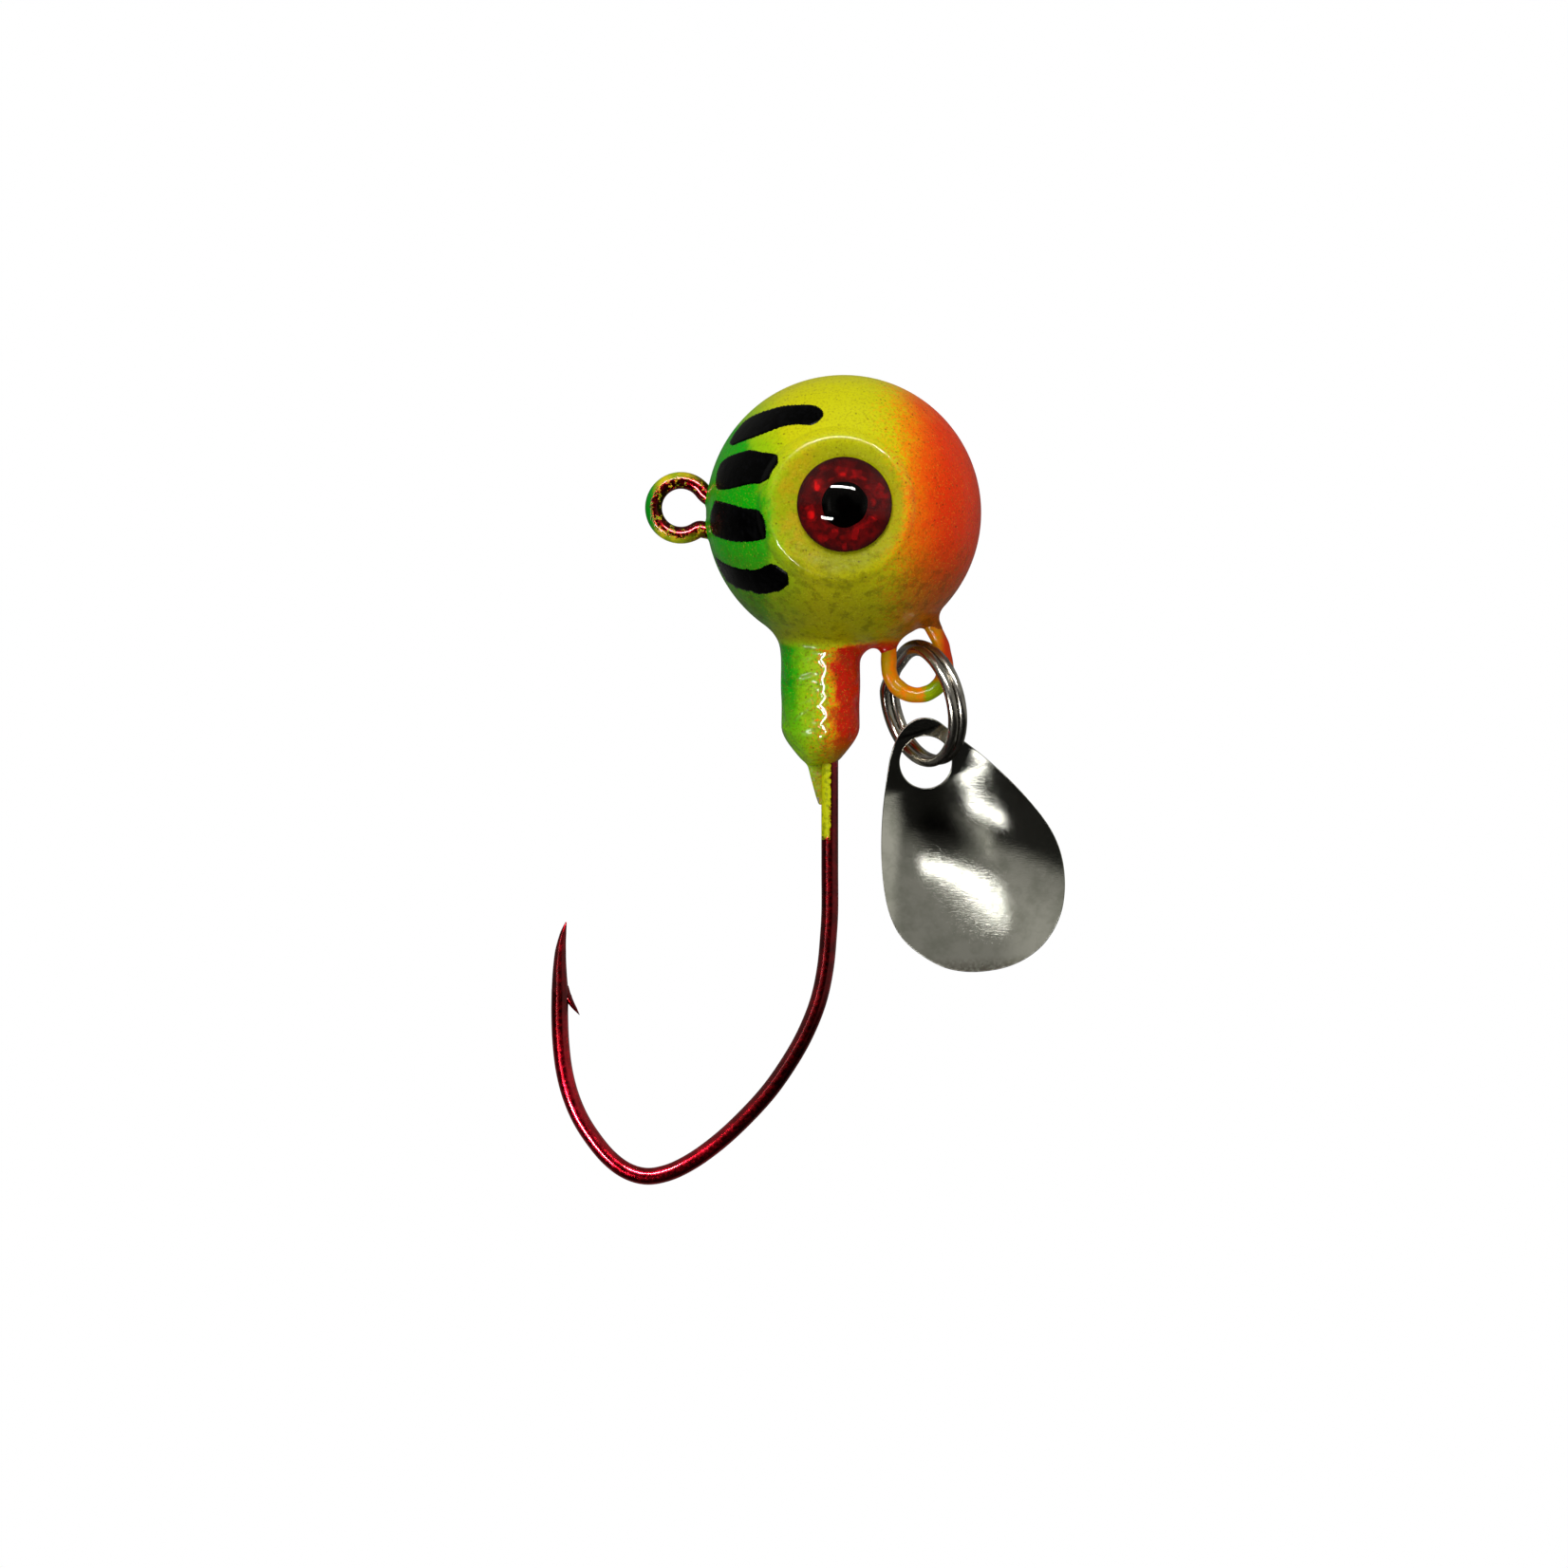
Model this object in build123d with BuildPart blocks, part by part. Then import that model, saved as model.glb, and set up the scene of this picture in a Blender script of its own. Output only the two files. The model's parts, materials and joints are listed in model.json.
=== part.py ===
from build123d import *
import os
from math import cos, dist, exp, log1p, radians, sin, sqrt, tanh

os.makedirs("parts", exist_ok=True)

# A painted ball jig head with a spinner blade hung under the chin, in millimetres.
# The pieces are drawn round the centre of the lead ball and moved by `home` as they
# are written, which puts the origin at the middle of the line eye. The hook shank
# runs down (-Z), the line eye sticks out to -X, the blade hangs at +X, and the two
# cheeks face -Y (right) and +Y (left). Outline points are (x, z) unless noted.

# ---------------------------------------------------------- shared dimensions
ball_r = 6.94             # painted ball
coat = 0.14               # paint thickness
pad_y = 6.05              # painted eye flat, distance from the middle plane
eye_x, eye_z = -8.24, 0.24    # centre of the line eye
home = Location((-eye_x, 0, -eye_z))


def save(part, name):
    """Label a piece, move it to the final origin and write its file."""
    part.label = name
    export_step(part.moved(home), f"parts/{name}.step")


# ------------------------------------------------------------------ the hook
# One wire: cut end in the lead, line eye, 90 degree bend inside the ball,
# shank, round bend, then the barbed needle point.
wire_r = 0.43
eye_line_r = 1.39         # line eye, to the middle of the wire
eye_bore_r = 0.985        # small land inside the line eye
eye_start, eye_middle, eye_end = 310, 170, 32    # degrees round the line eye
cut_end = (-5.30, -0.62)
neck = (-5.30, 0.30)      # where the wire leaves the line eye for the bend
neck_run = (1, -0.12)     # direction of the wire there
shank_x, shank_top = -0.70, -2.20

bend_line = (
    (shank_x, -20.20), (-0.76, -21.32), (-0.93, -23.10), (-1.30, -24.80),
    (-1.98, -26.48), (-2.77, -27.87), (-3.80, -29.33), (-5.15, -30.80),
    (-6.42, -31.95), (-7.73, -32.88), (-8.90, -33.44), (-9.98, -33.62),
    (-10.95, -33.36), (-11.86, -32.70), (-12.70, -31.70), (-13.35, -30.67),
    (-13.84, -29.50), (-14.16, -28.22), (-14.33, -26.75), (-14.38, -25.40),
    (-14.36, -24.28),
)

# x, z and radius of each section, from the wire up to the tip
needle_root_r = wire_r - 0.015
needle_stations = (
    (-14.366, -24.70, needle_root_r), (-14.37, -24.20, needle_root_r),
    (-14.38, -23.20, 0.355), (-14.335, -22.20, 0.280),
    (-14.20, -21.30, 0.160), (-14.06, -20.75, 0.035),
)

barb_outline = ((-14.20, -24.10), (-13.88, -24.42), (-13.28, -25.47), (-14.10, -24.98))
barb_notch = ((-14.10, -24.98), (-13.20, -25.54), (-13.93, -25.48))
barb_half_t = 0.20
hook_cut_half_t = 0.60    # reach of the cuts in the hook, each way from the middle plane


def on_eye(degrees):
    """Point on the centre line of the line eye."""
    angle = radians(degrees)
    return (eye_x + eye_line_r * cos(angle), eye_z + eye_line_r * sin(angle))


def along_eye(degrees):
    """Clockwise direction along the line eye at that point."""
    angle = radians(degrees)
    return (sin(angle), -cos(angle))


def make_hook():
    with BuildPart() as hook:
        with BuildLine(Plane.XZ) as wire:
            Spline(cut_end, (-6.90, -0.91), on_eye(eye_start),
                   tangents=((-1, -0.25), along_eye(eye_start)))
            ThreePointArc(on_eye(eye_start), on_eye(eye_middle), on_eye(eye_end))
            Spline(on_eye(eye_end), (-6.678, 0.673), neck,
                   tangents=(along_eye(eye_end), neck_run))
            Spline(neck, (-2.60, -0.05), (shank_x, shank_top), tangents=(neck_run, (0, -1)))
            Line((shank_x, shank_top), bend_line[0])
            Spline(*bend_line, tangents=((0, -1), (0.02, 1)))
        with BuildSketch(Plane(origin=wire.line @ 0, z_dir=wire.line % 0)):
            Circle(wire_r)
        sweep(path=wire.line)
        # needle point, ground on the side away from the shank
        for x, z, radius in needle_stations:
            with BuildSketch(Plane(origin=(x, 0, z), x_dir=(1, 0, 0), z_dir=(0, 0, 1))):
                Circle(radius)
        loft()
        # barb on the shank side, then the notch under it
        with BuildSketch(Plane.XZ):
            Polygon(*barb_outline, align=None)
        extrude(amount=barb_half_t, both=True)
        with BuildSketch(Plane.XZ):
            Polygon(*barb_notch, align=None)
        extrude(amount=hook_cut_half_t, both=True, mode=Mode.SUBTRACT)
        # land inside the line eye
        with BuildSketch(Plane.XZ):
            with Locations((eye_x, eye_z)):
                Circle(eye_bore_r)
        extrude(amount=hook_cut_half_t, both=True, mode=Mode.SUBTRACT)
    return hook.part


# ------------------------------------------------------- the spinner eyelet
# A U of wire cast into the chin, its ends turned in so they cannot pull out.
eyelet_r = 0.41           # wire radius
eyelet_left = 2.29        # x of the leg nearer the shank
eyelet_leg_top = -5.20
eyelet_bend_r, eyelet_bend_z = 1.44, -7.81
eyelet_right = eyelet_left + 2 * eyelet_bend_r


def make_spinner_eyelet():
    leg_top = (eyelet_left, eyelet_leg_top)
    bend_left = (eyelet_left, eyelet_bend_z)
    bend_bottom = (eyelet_left + eyelet_bend_r, eyelet_bend_z - eyelet_bend_r)
    bend_right = (eyelet_right, eyelet_bend_z)
    with BuildPart() as eyelet:
        with BuildLine(Plane.XZ) as wire:
            Spline((1.62, -3.30), (2.20, -4.10), leg_top, tangents=((0.8, -0.5), (0, -1)))
            Line(leg_top, bend_left)
            ThreePointArc(bend_left, bend_bottom, bend_right)
            Spline(bend_right, (4.98, -6.80), (4.60, -5.95), (4.10, -5.15), (3.40, -4.30),
                   tangents=((0, 1), (-0.7, 0.7)))
        with BuildSketch(Plane(origin=wire.line @ 0, z_dir=wire.line % 0)):
            Circle(eyelet_r)
        sweep(path=wire.line)
    return eyelet.part


# ------------------------------------------- the lead casting and its paint coat
collar_x, collar_r = -1.17, 1.99     # bait keeper collar, painted
collar_root = -3.0                   # top of the collar profile, inside the ball
collar_flare = -6.60                 # z where the flared root ends
collar_top, collar_low, collar_end = -7.45, -11.00, -12.72
draft = 0.02                         # taper of the bare collar, each way
bare_collar_r = collar_r - coat
flat_cut_w, flat_cut_t = 16, 4.0     # block that cuts an eye flat

# Collar profiles, (distance from the collar axis, z): four points down the wall,
# two round the shoulder, one at the rim of the flat end.
lead_collar = (
    (collar_r + 0.02, collar_root), (bare_collar_r + 0.06, collar_flare),
    (bare_collar_r + draft, collar_top), (bare_collar_r - draft, collar_low),
    (1.62, -11.42), (0.90, -12.36), (0.58, collar_end + 0.12),
)
paint_collar = (
    (collar_r + 0.20, collar_root), (collar_r + 0.06, collar_flare),
    (collar_r, collar_top), (collar_r, collar_low),
    (1.76, -11.50), (0.99, -12.47), (0.68, collar_end),
)

# flash left by the mould beside the shank
flash_t = 0.26
flash_outline = (
    (-1.95, -12.20), (-1.30, -12.20), (-1.27, -13.40), (-1.22, -14.55),
    (-1.26, -14.75), (-1.34, -14.40), (-1.52, -13.60), (-1.70, -12.90),
)

rim_major, rim_minor = 3.36, 0.30    # rounded lip round the eye flat
rim_x, rim_z = -0.20, 0.04
rim_sink = 0.14                      # depth of the lip's centre line below the flat


def head_body(radius, flat_y, collar):
    """Ball and collar with an eye flat cut on both cheeks."""
    side_line = [(collar_x + out, z) for out, z in collar]
    root = (collar_x, collar_root)
    with BuildPart() as body:
        Sphere(radius)
        with BuildSketch(Plane.XZ):
            with BuildLine():
                Polyline(root, *side_line[:4])
                Spline(*side_line[3:6], tangents=((0, -1), (-0.62, -0.78)))
                Polyline(*side_line[5:], (collar_x, side_line[-1][1]), root)
            make_face()
        revolve(axis=Axis((collar_x, 0, 0), (0, 0, 1)))
        for side in (-1, 1):
            with Locations((0, side * (flat_y + flat_cut_t / 2), 0)):
                Box(flat_cut_w, flat_cut_t, flat_cut_w, mode=Mode.SUBTRACT)
    return body.part


def make_lead_head(hook, eyelet):
    with BuildPart() as lead:
        add(head_body(ball_r - coat, pad_y - coat, lead_collar))
        with BuildSketch(Plane.XZ):
            Polygon(*flash_outline, align=None)
        extrude(amount=flash_t / 2, both=True)
        add(hook, mode=Mode.SUBTRACT)
        add(eyelet, mode=Mode.SUBTRACT)
    return lead.part


def make_paint_coat(lead, hook, eyelet):
    with BuildPart() as paint:
        add(head_body(ball_r, pad_y, paint_collar))
        # soft lip of paint round each eye flat
        for side in (-1, 1):
            with Locations(Location((rim_x, side * (pad_y - rim_sink), rim_z), (90, 0, 0))):
                Torus(rim_major, rim_minor)
        add(lead, mode=Mode.SUBTRACT)
        add(hook, mode=Mode.SUBTRACT)
        add(eyelet, mode=Mode.SUBTRACT)
    return paint.part


# ------------------------------------------------------- black cheek markings
# Four bars on each cheek, on the line eye's side of the stick-on eye, the same
# on both cheeks. Each is a closed smooth outline, listed from the top down.
ink = 0.04                # thickness of the markings
mark_reach = 8.0          # extrusion length, past the ball's surface
mark_outlines = (
    ((-3.08, 5.27), (-2.31, 5.31), (-1.59, 5.28), (-1.22, 5.12), (-1.02, 4.81),
     (-1.12, 4.55), (-1.60, 4.20), (-2.31, 4.23), (-3.04, 4.15), (-3.72, 3.92),
     (-4.49, 3.64), (-5.13, 3.44), (-5.61, 3.29), (-5.79, 3.44), (-5.63, 3.81),
     (-5.30, 4.28), (-4.92, 4.66), (-4.36, 4.93), (-3.73, 5.12)),
    ((-6.48, 1.30), (-6.44, 1.82), (-6.24, 2.42), (-5.85, 2.73), (-5.29, 2.92),
     (-4.73, 3.02), (-4.14, 2.90), (-3.34, 2.71), (-3.17, 2.24), (-3.47, 1.77),
     (-3.63, 1.42), (-4.14, 1.26), (-4.73, 1.24), (-5.42, 1.10), (-6.07, 1.02),
     (-6.41, 1.11)),
    ((-6.50, 0.54), (-6.26, 0.50), (-5.54, 0.27), (-4.95, 0.09), (-4.43, 0.02),
     (-4.08, -0.11), (-3.88, -0.41), (-3.76, -0.96), (-3.84, -1.43),
     (-4.27, -1.58), (-4.91, -1.64), (-5.54, -1.60), (-6.14, -1.43),
     (-6.59, -1.20), (-6.73, -0.83), (-6.75, -0.20), (-6.62, 0.27)),
    ((-3.59, -2.70), (-3.17, -2.93), (-2.93, -3.12), (-2.75, -3.47),
     (-2.77, -3.74), (-3.09, -4.01), (-3.56, -4.17), (-4.20, -4.22),
     (-4.92, -4.04), (-5.39, -3.87), (-5.83, -3.61), (-6.11, -3.20),
     (-6.36, -2.75), (-6.55, -2.09), (-6.43, -2.29), (-5.94, -2.64),
     (-5.35, -2.87), (-4.74, -2.98), (-4.28, -2.94), (-3.84, -2.75)),
)


def make_mark(outline, reach):
    """A skin of ink on the ball; a positive reach is toward -Y."""
    with BuildPart() as mark:
        with BuildSketch(Plane.XZ):
            with BuildLine():
                Spline(*outline, periodic=True)
            make_face()
        extrude(amount=reach)
        Sphere(ball_r + ink, mode=Mode.INTERSECT)
        Sphere(ball_r, mode=Mode.SUBTRACT)
    return mark.part


# ------------------------------------------------------------- stick-on eyes
# Each eye is foam adhesive, metal foil, printed pupil and a clear dome,
# stacked outward from the eye flat.
stick_eye_r = 2.38
stick_eye_z = 0.21
foam_r = stick_eye_r - 0.10
pupil_r = 1.15
foam_t = 0.25
foil_t = 0.06
pupil_t = 0.05
dome_edge = 0.12          # straight edge below the dome's curve
dome_h = 1.10             # rise of the curve
dome_r = (stick_eye_r ** 2 + dome_h ** 2) / (2 * dome_h)
foil_y = pad_y + foam_t   # distances from the middle plane
face_y = foil_y + foil_t


def eye_disc(inner_y, radius, thickness):
    """Disc on the right cheek, growing outward (-Y) from inner_y."""
    with BuildPart() as disc:
        with BuildSketch(Plane.XZ.offset(inner_y)):
            with Locations((0, stick_eye_z)):
                Circle(radius)
        extrude(amount=thickness)
    return disc.part


def make_eye_dome(pupil):
    with BuildPart() as dome:
        add(eye_disc(face_y, stick_eye_r, dome_edge + dome_h))
        with Locations((0, -(face_y + dome_edge + dome_h - dome_r), stick_eye_z)):
            Sphere(dome_r, mode=Mode.INTERSECT)
        add(pupil, mode=Mode.SUBTRACT)
    return dome.part


def make_right_eye():
    pupil = eye_disc(face_y, pupil_r, pupil_t)
    return {
        "eye_adhesive": eye_disc(pad_y, foam_r, foam_t),
        "iris_foil": eye_disc(foil_y, stick_eye_r, foil_t),
        "pupil": pupil,
        "eye_dome": make_eye_dome(pupil),
    }


# ------------------------------------------------------------- the split ring
# Two close coils of one spring wire. The wire's first end springs inward.
ring_wire_r, ring_line_r = 0.265, 2.985
ring_centre = Vector(4.04, 0.66, -9.66)
ring_u = Vector(0.5130, -0.8483, 0.1310)     # two directions in the ring's plane
ring_v = Vector(-0.2500, 0.0000, 0.9682)
ring_normal = ring_u.cross(ring_v)
coil_half_gap = 0.275     # each coil's distance from the ring's middle plane
ring_start = 130.0        # angle of the first end, from ring_u toward ring_v
ring_travel, ring_step = 690, 10             # degrees of wire, and between points
cross_start, cross_span = 330.0, 30.0        # where the wire crosses between coils
tuck_end, tuck_span = 78.0, 60.0             # where the inward tuck fades out
tuck_depth = 0.66


def ease(value):
    """Smooth step from 0 to 1."""
    value = min(max(value, 0.0), 1.0)
    return value * value * (3 - 2 * value)


def ring_point(travel):
    """Point on the wire's centre line, `travel` degrees from its first end."""
    angle = radians(ring_start - travel)
    lift = coil_half_gap * (1 - 2 * ease((travel - cross_start) / cross_span))
    radius = ring_line_r - tuck_depth * ease((tuck_end - travel) / tuck_span)
    in_plane = ring_u * (radius * cos(angle)) + ring_v * (radius * sin(angle))
    return ring_centre + in_plane + ring_normal * lift


def make_split_ring():
    with BuildPart() as ring:
        with BuildLine() as wire:
            Spline(*[ring_point(travel) for travel in range(0, ring_travel + 1, ring_step)])
        with BuildSketch(Plane(origin=wire.line @ 0, z_dir=wire.line % 0)):
            Circle(ring_wire_r)
        sweep(path=wire.line)
    return ring.part


# ----------------------------------------------------------- the spinner blade
# A dished teardrop of sheet metal, hollow toward -Y, leaning off the vertical.
blade_t = 0.40
blade_y = 1.10            # -Y face of the flat lug at the top
blade_cup = 1.48          # how deep the blade is dished
cup_x, cup_z = 5.00, -16.44   # the deepest point of the dish
cup_turn = radians(45)    # between the bowl's long axis and the vertical
cup_fall = 1.13           # how fast the bowl's walls rise
cup_floor = 5.64          # how broad its floor is
cup_up, cup_down, cup_side = 1.00, 1.57, 1.15   # stretch toward each side
cup_roll = 0.30           # how softly the bowl meets the flat of the lug
hole_x, hole_z, hole_r = 4.19, -12.64, 1.325
blade_reach = 8           # the blade's cutters reach this far each way in Y

# The dished surface is sampled on a grid along and across the line lug to toe.
lug = (3.90, -10.40)
toe = (7.75, -23.10)
grid_start, grid_pitch, grid_rows = -1.0, 0.7, 23
grid_half_w, grid_steps = 5.6, 12

blade_outline = (
    (4.25, -10.38), (3.72, -10.44), (3.28, -10.70), (2.80, -11.25), (2.42, -12.20),
    (2.20, -13.46), (1.98, -15.38), (1.93, -17.31), (2.05, -19.00), (2.33, -20.35),
    (2.80, -21.35), (3.37, -22.00), (4.24, -22.63), (5.21, -23.10), (6.27, -23.28),
    (7.33, -23.23), (8.37, -23.00), (9.32, -22.55), (10.12, -21.89), (10.72, -21.03),
    (11.08, -20.12), (11.22, -19.14), (11.20, -18.20), (11.04, -17.30), (10.73, -16.45),
    (10.28, -15.67), (9.73, -14.95), (9.10, -14.22), (8.35, -13.44), (7.39, -12.56),
    (6.62, -11.93), (5.92, -11.40), (5.28, -10.90), (4.75, -10.52),
)


def cup_point(along, across):
    """Point on the blade's -Y face."""
    length = dist(lug, toe)
    axis_x = (toe[0] - lug[0]) / length
    axis_z = (toe[1] - lug[1]) / length
    x = lug[0] + along * axis_x - across * axis_z
    z = lug[1] + along * axis_z + across * axis_x
    from_x = x - cup_x
    from_z = z - cup_z
    down = from_x * sin(cup_turn) - from_z * cos(cup_turn)
    side = from_x * cos(cup_turn) + from_z * sin(cup_turn)
    stretch = cup_up + (cup_down - cup_up) * 0.5 * (1 + tanh(down))
    far = sqrt(cup_floor ** 2 + (down / stretch) ** 2 + (side / cup_side) ** 2)
    bowl = blade_cup - cup_fall * (far - cup_floor)
    # soft maximum of the bowl and the flat
    depth = cup_roll * log1p(exp(max(bowl / cup_roll, -40)))
    return Vector(x, blade_y + depth, z)


def make_spinner_blade():
    grid = [[cup_point(grid_start + grid_pitch * row,
                       -grid_half_w + 2 * grid_half_w * column / grid_steps)
             for column in range(grid_steps + 1)]
            for row in range(grid_rows)]
    cup_face = Face.make_surface_from_array_of_points(grid, tol=0.01, min_deg=3, max_deg=5)
    with BuildPart() as blade:
        thicken(to_thicken=cup_face, amount=blade_t, normal_override=(0, 1, 0))
        with BuildSketch(Plane.XZ.offset(-blade_reach)):
            with BuildLine():
                Spline(*blade_outline, periodic=True)
            make_face()
        extrude(amount=2 * blade_reach, mode=Mode.INTERSECT)
        with BuildSketch(Plane.XZ.offset(-blade_reach)):
            with Locations((hole_x, hole_z)):
                Circle(hole_r)
        extrude(amount=2 * blade_reach, mode=Mode.SUBTRACT)
    return blade.part


# ------------------------------------------------------------------- the files
hook = make_hook()
spinner_eyelet = make_spinner_eyelet()
lead_head = make_lead_head(hook, spinner_eyelet)
paint_coat = make_paint_coat(lead_head, hook, spinner_eyelet)

save(hook, "hook")
save(spinner_eyelet, "spinner_eyelet")
save(lead_head, "lead_head")
save(paint_coat, "paint_coat")
save(make_split_ring(), "split_ring")
save(make_spinner_blade(), "spinner_blade")

for side, reach in (("right", mark_reach), ("left", -mark_reach)):
    for number, outline in enumerate(mark_outlines, 1):
        save(make_mark(outline, reach), f"mark_{side}_{number}")

for name, piece in make_right_eye().items():
    save(piece, f"{name}_right")
    save(mirror(piece, about=Plane.XZ), f"{name}_left")
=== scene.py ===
"""A painted ball-head jig with a spinner blade.

The ball sits over a collar. The line eye is on its -X side, the hook hangs down -Z and
bends to -X, and the blade hangs from a wire loop on the +X side. The camera looks along +Y,
so the cheeks face -Y (tagged "right") and +Y (tagged "left").
"""
import json
import math

import bpy
import numpy as np
from mathutils import Matrix, Vector

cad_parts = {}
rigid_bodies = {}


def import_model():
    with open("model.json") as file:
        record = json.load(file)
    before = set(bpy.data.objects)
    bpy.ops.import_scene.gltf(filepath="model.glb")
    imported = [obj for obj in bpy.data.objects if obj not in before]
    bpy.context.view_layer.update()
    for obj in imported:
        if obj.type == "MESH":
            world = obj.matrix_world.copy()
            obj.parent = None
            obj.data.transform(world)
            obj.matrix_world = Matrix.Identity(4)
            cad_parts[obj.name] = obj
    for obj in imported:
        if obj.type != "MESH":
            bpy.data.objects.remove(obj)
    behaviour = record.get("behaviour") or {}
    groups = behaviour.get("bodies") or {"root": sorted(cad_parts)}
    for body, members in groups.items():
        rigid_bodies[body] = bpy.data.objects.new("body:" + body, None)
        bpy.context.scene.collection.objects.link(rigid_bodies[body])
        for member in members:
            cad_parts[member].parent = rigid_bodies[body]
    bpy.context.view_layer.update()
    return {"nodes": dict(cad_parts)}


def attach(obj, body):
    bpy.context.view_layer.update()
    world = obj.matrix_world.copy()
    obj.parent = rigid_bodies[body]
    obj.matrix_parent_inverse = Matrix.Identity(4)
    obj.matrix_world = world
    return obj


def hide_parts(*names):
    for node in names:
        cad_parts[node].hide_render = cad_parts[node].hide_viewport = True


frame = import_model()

# Shapes are laid out in millimetres round the centre of the ball.
# HOME moves them to the row frame, whose origin is the middle of the line eye.
HOME = np.array((8.24, 0.0, -0.24))
LINE_EYE = (-HOME[0], -HOME[2])     # (x, z) from the centre of the ball
MM = 1000.0                         # millimetres in a metre
RNG = np.random.default_rng(7)
FINE = 1.0   # mesh density
CHEEKS = (("right", -1), ("left", 1))   # tag, sign of y


# ------------------------------------------------------------------ mesh tools
def make(name, verts, faces, material, body, replaced, slot):
    """Turns millimetre vertices into a smooth object that stands in for a CAD piece."""
    mesh = bpy.data.meshes.new(name)
    mesh.from_pydata(((np.asarray(verts, float) + HOME) / MM).tolist(), [], faces)
    mesh.validate()
    mesh.polygons.foreach_set("use_smooth", [True] * len(mesh.polygons))
    mesh.materials.append(material)
    ob = bpy.data.objects.new(name, mesh)
    bpy.context.scene.collection.objects.link(ob)
    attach(ob, body)
    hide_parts(replaced)
    return ob


def arc_resample(points, step, closed=False):
    """Even steps along a centripetal Catmull-Rom curve through the points."""
    points = np.asarray(points, float)
    if closed:
        knots = np.vstack([points[-1], points, points[0], points[1]])
    else:
        knots = np.vstack([2 * points[0] - points[1], points, 2 * points[-1] - points[-2]])
    curve = []
    for i in range(1, len(knots) - 2):
        a, b, c, d = knots[i - 1:i + 3]
        t0 = 0.0
        t1 = t0 + np.linalg.norm(b - a) ** 0.5
        t2 = t1 + np.linalg.norm(c - b) ** 0.5
        t3 = t2 + np.linalg.norm(d - c) ** 0.5
        t = np.linspace(t1, t2, 40, endpoint=False)[:, None]

        def between(start, end, p, q):
            return (end - t) / (end - start) * p + (t - start) / (end - start) * q

        ab, bc, cd = between(t0, t1, a, b), between(t1, t2, b, c), between(t2, t3, c, d)
        curve.append(between(t1, t2, between(t0, t2, ab, bc), between(t1, t3, bc, cd)))
    curve = np.vstack(curve + [points[:1] if closed else points[-1:]])
    along = np.r_[0, np.cumsum(np.linalg.norm(np.diff(curve, axis=0), axis=1))]
    count = max(int(round(along[-1] / step)), 4)
    stops = np.linspace(0, along[-1], count + 1)
    return np.stack([np.interp(stops, along, column) for column in curve.T], 1)


def smooth_line(line, rounds):
    line = line.copy()
    for _ in range(rounds):
        line[1:-1] = 0.25 * line[:-2] + 0.5 * line[1:-1] + 0.25 * line[2:]
    return line


def xz(points):
    return np.array([(x, 0.0, z) for x, z in points])


def arc_xz(centre, radius, start, end, count):
    """An arc in the y = 0 plane, in degrees from +X towards +Z."""
    a = np.radians(np.linspace(start, end, count))
    return xz(np.c_[centre[0] + radius * np.cos(a), centre[1] + radius * np.sin(a)])


def ring_faces(rows, sides):
    """Quads between closed rings, and a fan onto a last point at each end."""
    faces = []
    for i in range(rows - 1):
        for j in range(sides):
            k = (j + 1) % sides
            faces.append((i * sides + j, i * sides + k, (i + 1) * sides + k, (i + 1) * sides + j))
    first, end = rows * sides, (rows - 1) * sides
    for j in range(sides):
        k = (j + 1) % sides
        faces.append((first, k, j))
        faces.append((first + 1, end + j, end + k))
    return faces


TUBE_CAP = ((0.0, 0.55), (0.25, 0.86), (0.6, 0.97))   # share of cap length, of radius


def tube(path, radius, sides):
    """A round wire along a path: rings that don't twist, closed with small rounded ends."""
    radius = np.broadcast_to(np.asarray(radius, float), len(path))
    tangents = np.gradient(path, axis=0)
    tangents /= np.linalg.norm(tangents, axis=1)[:, None]
    side = np.cross(tangents[0], (0, 1, 0) if abs(tangents[0][1]) < 0.9 else (1, 0, 0))
    normals = []
    for tangent in tangents:
        side = side - (side @ tangent) * tangent
        side /= np.linalg.norm(side)
        normals.append(side.copy())

    def cap(end, sign):
        length = min(0.12, radius[end] * 0.35)
        return [(path[end] + sign * tangents[end] * length * (1 - along), radius[end] * share,
                 tangents[end], normals[end]) for along, share in TUBE_CAP]

    rings = cap(0, -1) + list(zip(path, radius, tangents, normals)) + cap(-1, 1)[::-1]
    a = np.linspace(0, 2 * math.pi, sides, endpoint=False)[:, None]
    verts = [point + r * (np.cos(a) * normal + np.sin(a) * np.cross(tangent, normal))
             for point, r, tangent, normal in rings]
    return np.vstack(verts + [rings[0][0], rings[-1][0]]), ring_faces(len(rings), sides)


def smooth_step(x, start, end):
    t = np.clip((x - start) / (end - start), 0, 1)
    return t * t * (3 - 2 * t)


# -------------------------------------------------------------- distance fields
def smooth_min(a, b, blend):
    t = np.clip(0.5 + 0.5 * (b - a) / blend, 0, 1)
    return b * (1 - t) + a * t - blend * t * (1 - t)


def smooth_max(a, b, blend):
    return -smooth_min(-a, -b, blend)


def capsule(x, y, z, start, end, radius):
    """Distance to a rod between two (x, z) points of the y = 0 plane."""
    (ax, az), (bx, bz) = start, end
    dx, dz = bx - ax, bz - az
    t = np.clip(((x - ax) * dx + (z - az) * dz) / (dx * dx + dz * dz), 0, 1)
    return np.sqrt((x - ax - t * dx) ** 2 + y ** 2 + (z - az - t * dz) ** 2) - radius


def gradient(field, points, reach=2e-3):
    slope = np.empty_like(points)
    for k in range(3):
        ahead, behind = points.copy(), points.copy()
        ahead[:, k] += reach
        behind[:, k] -= reach
        slope[:, k] = (field(*ahead.T) - field(*behind.T)) / (2 * reach)
    return slope


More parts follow.
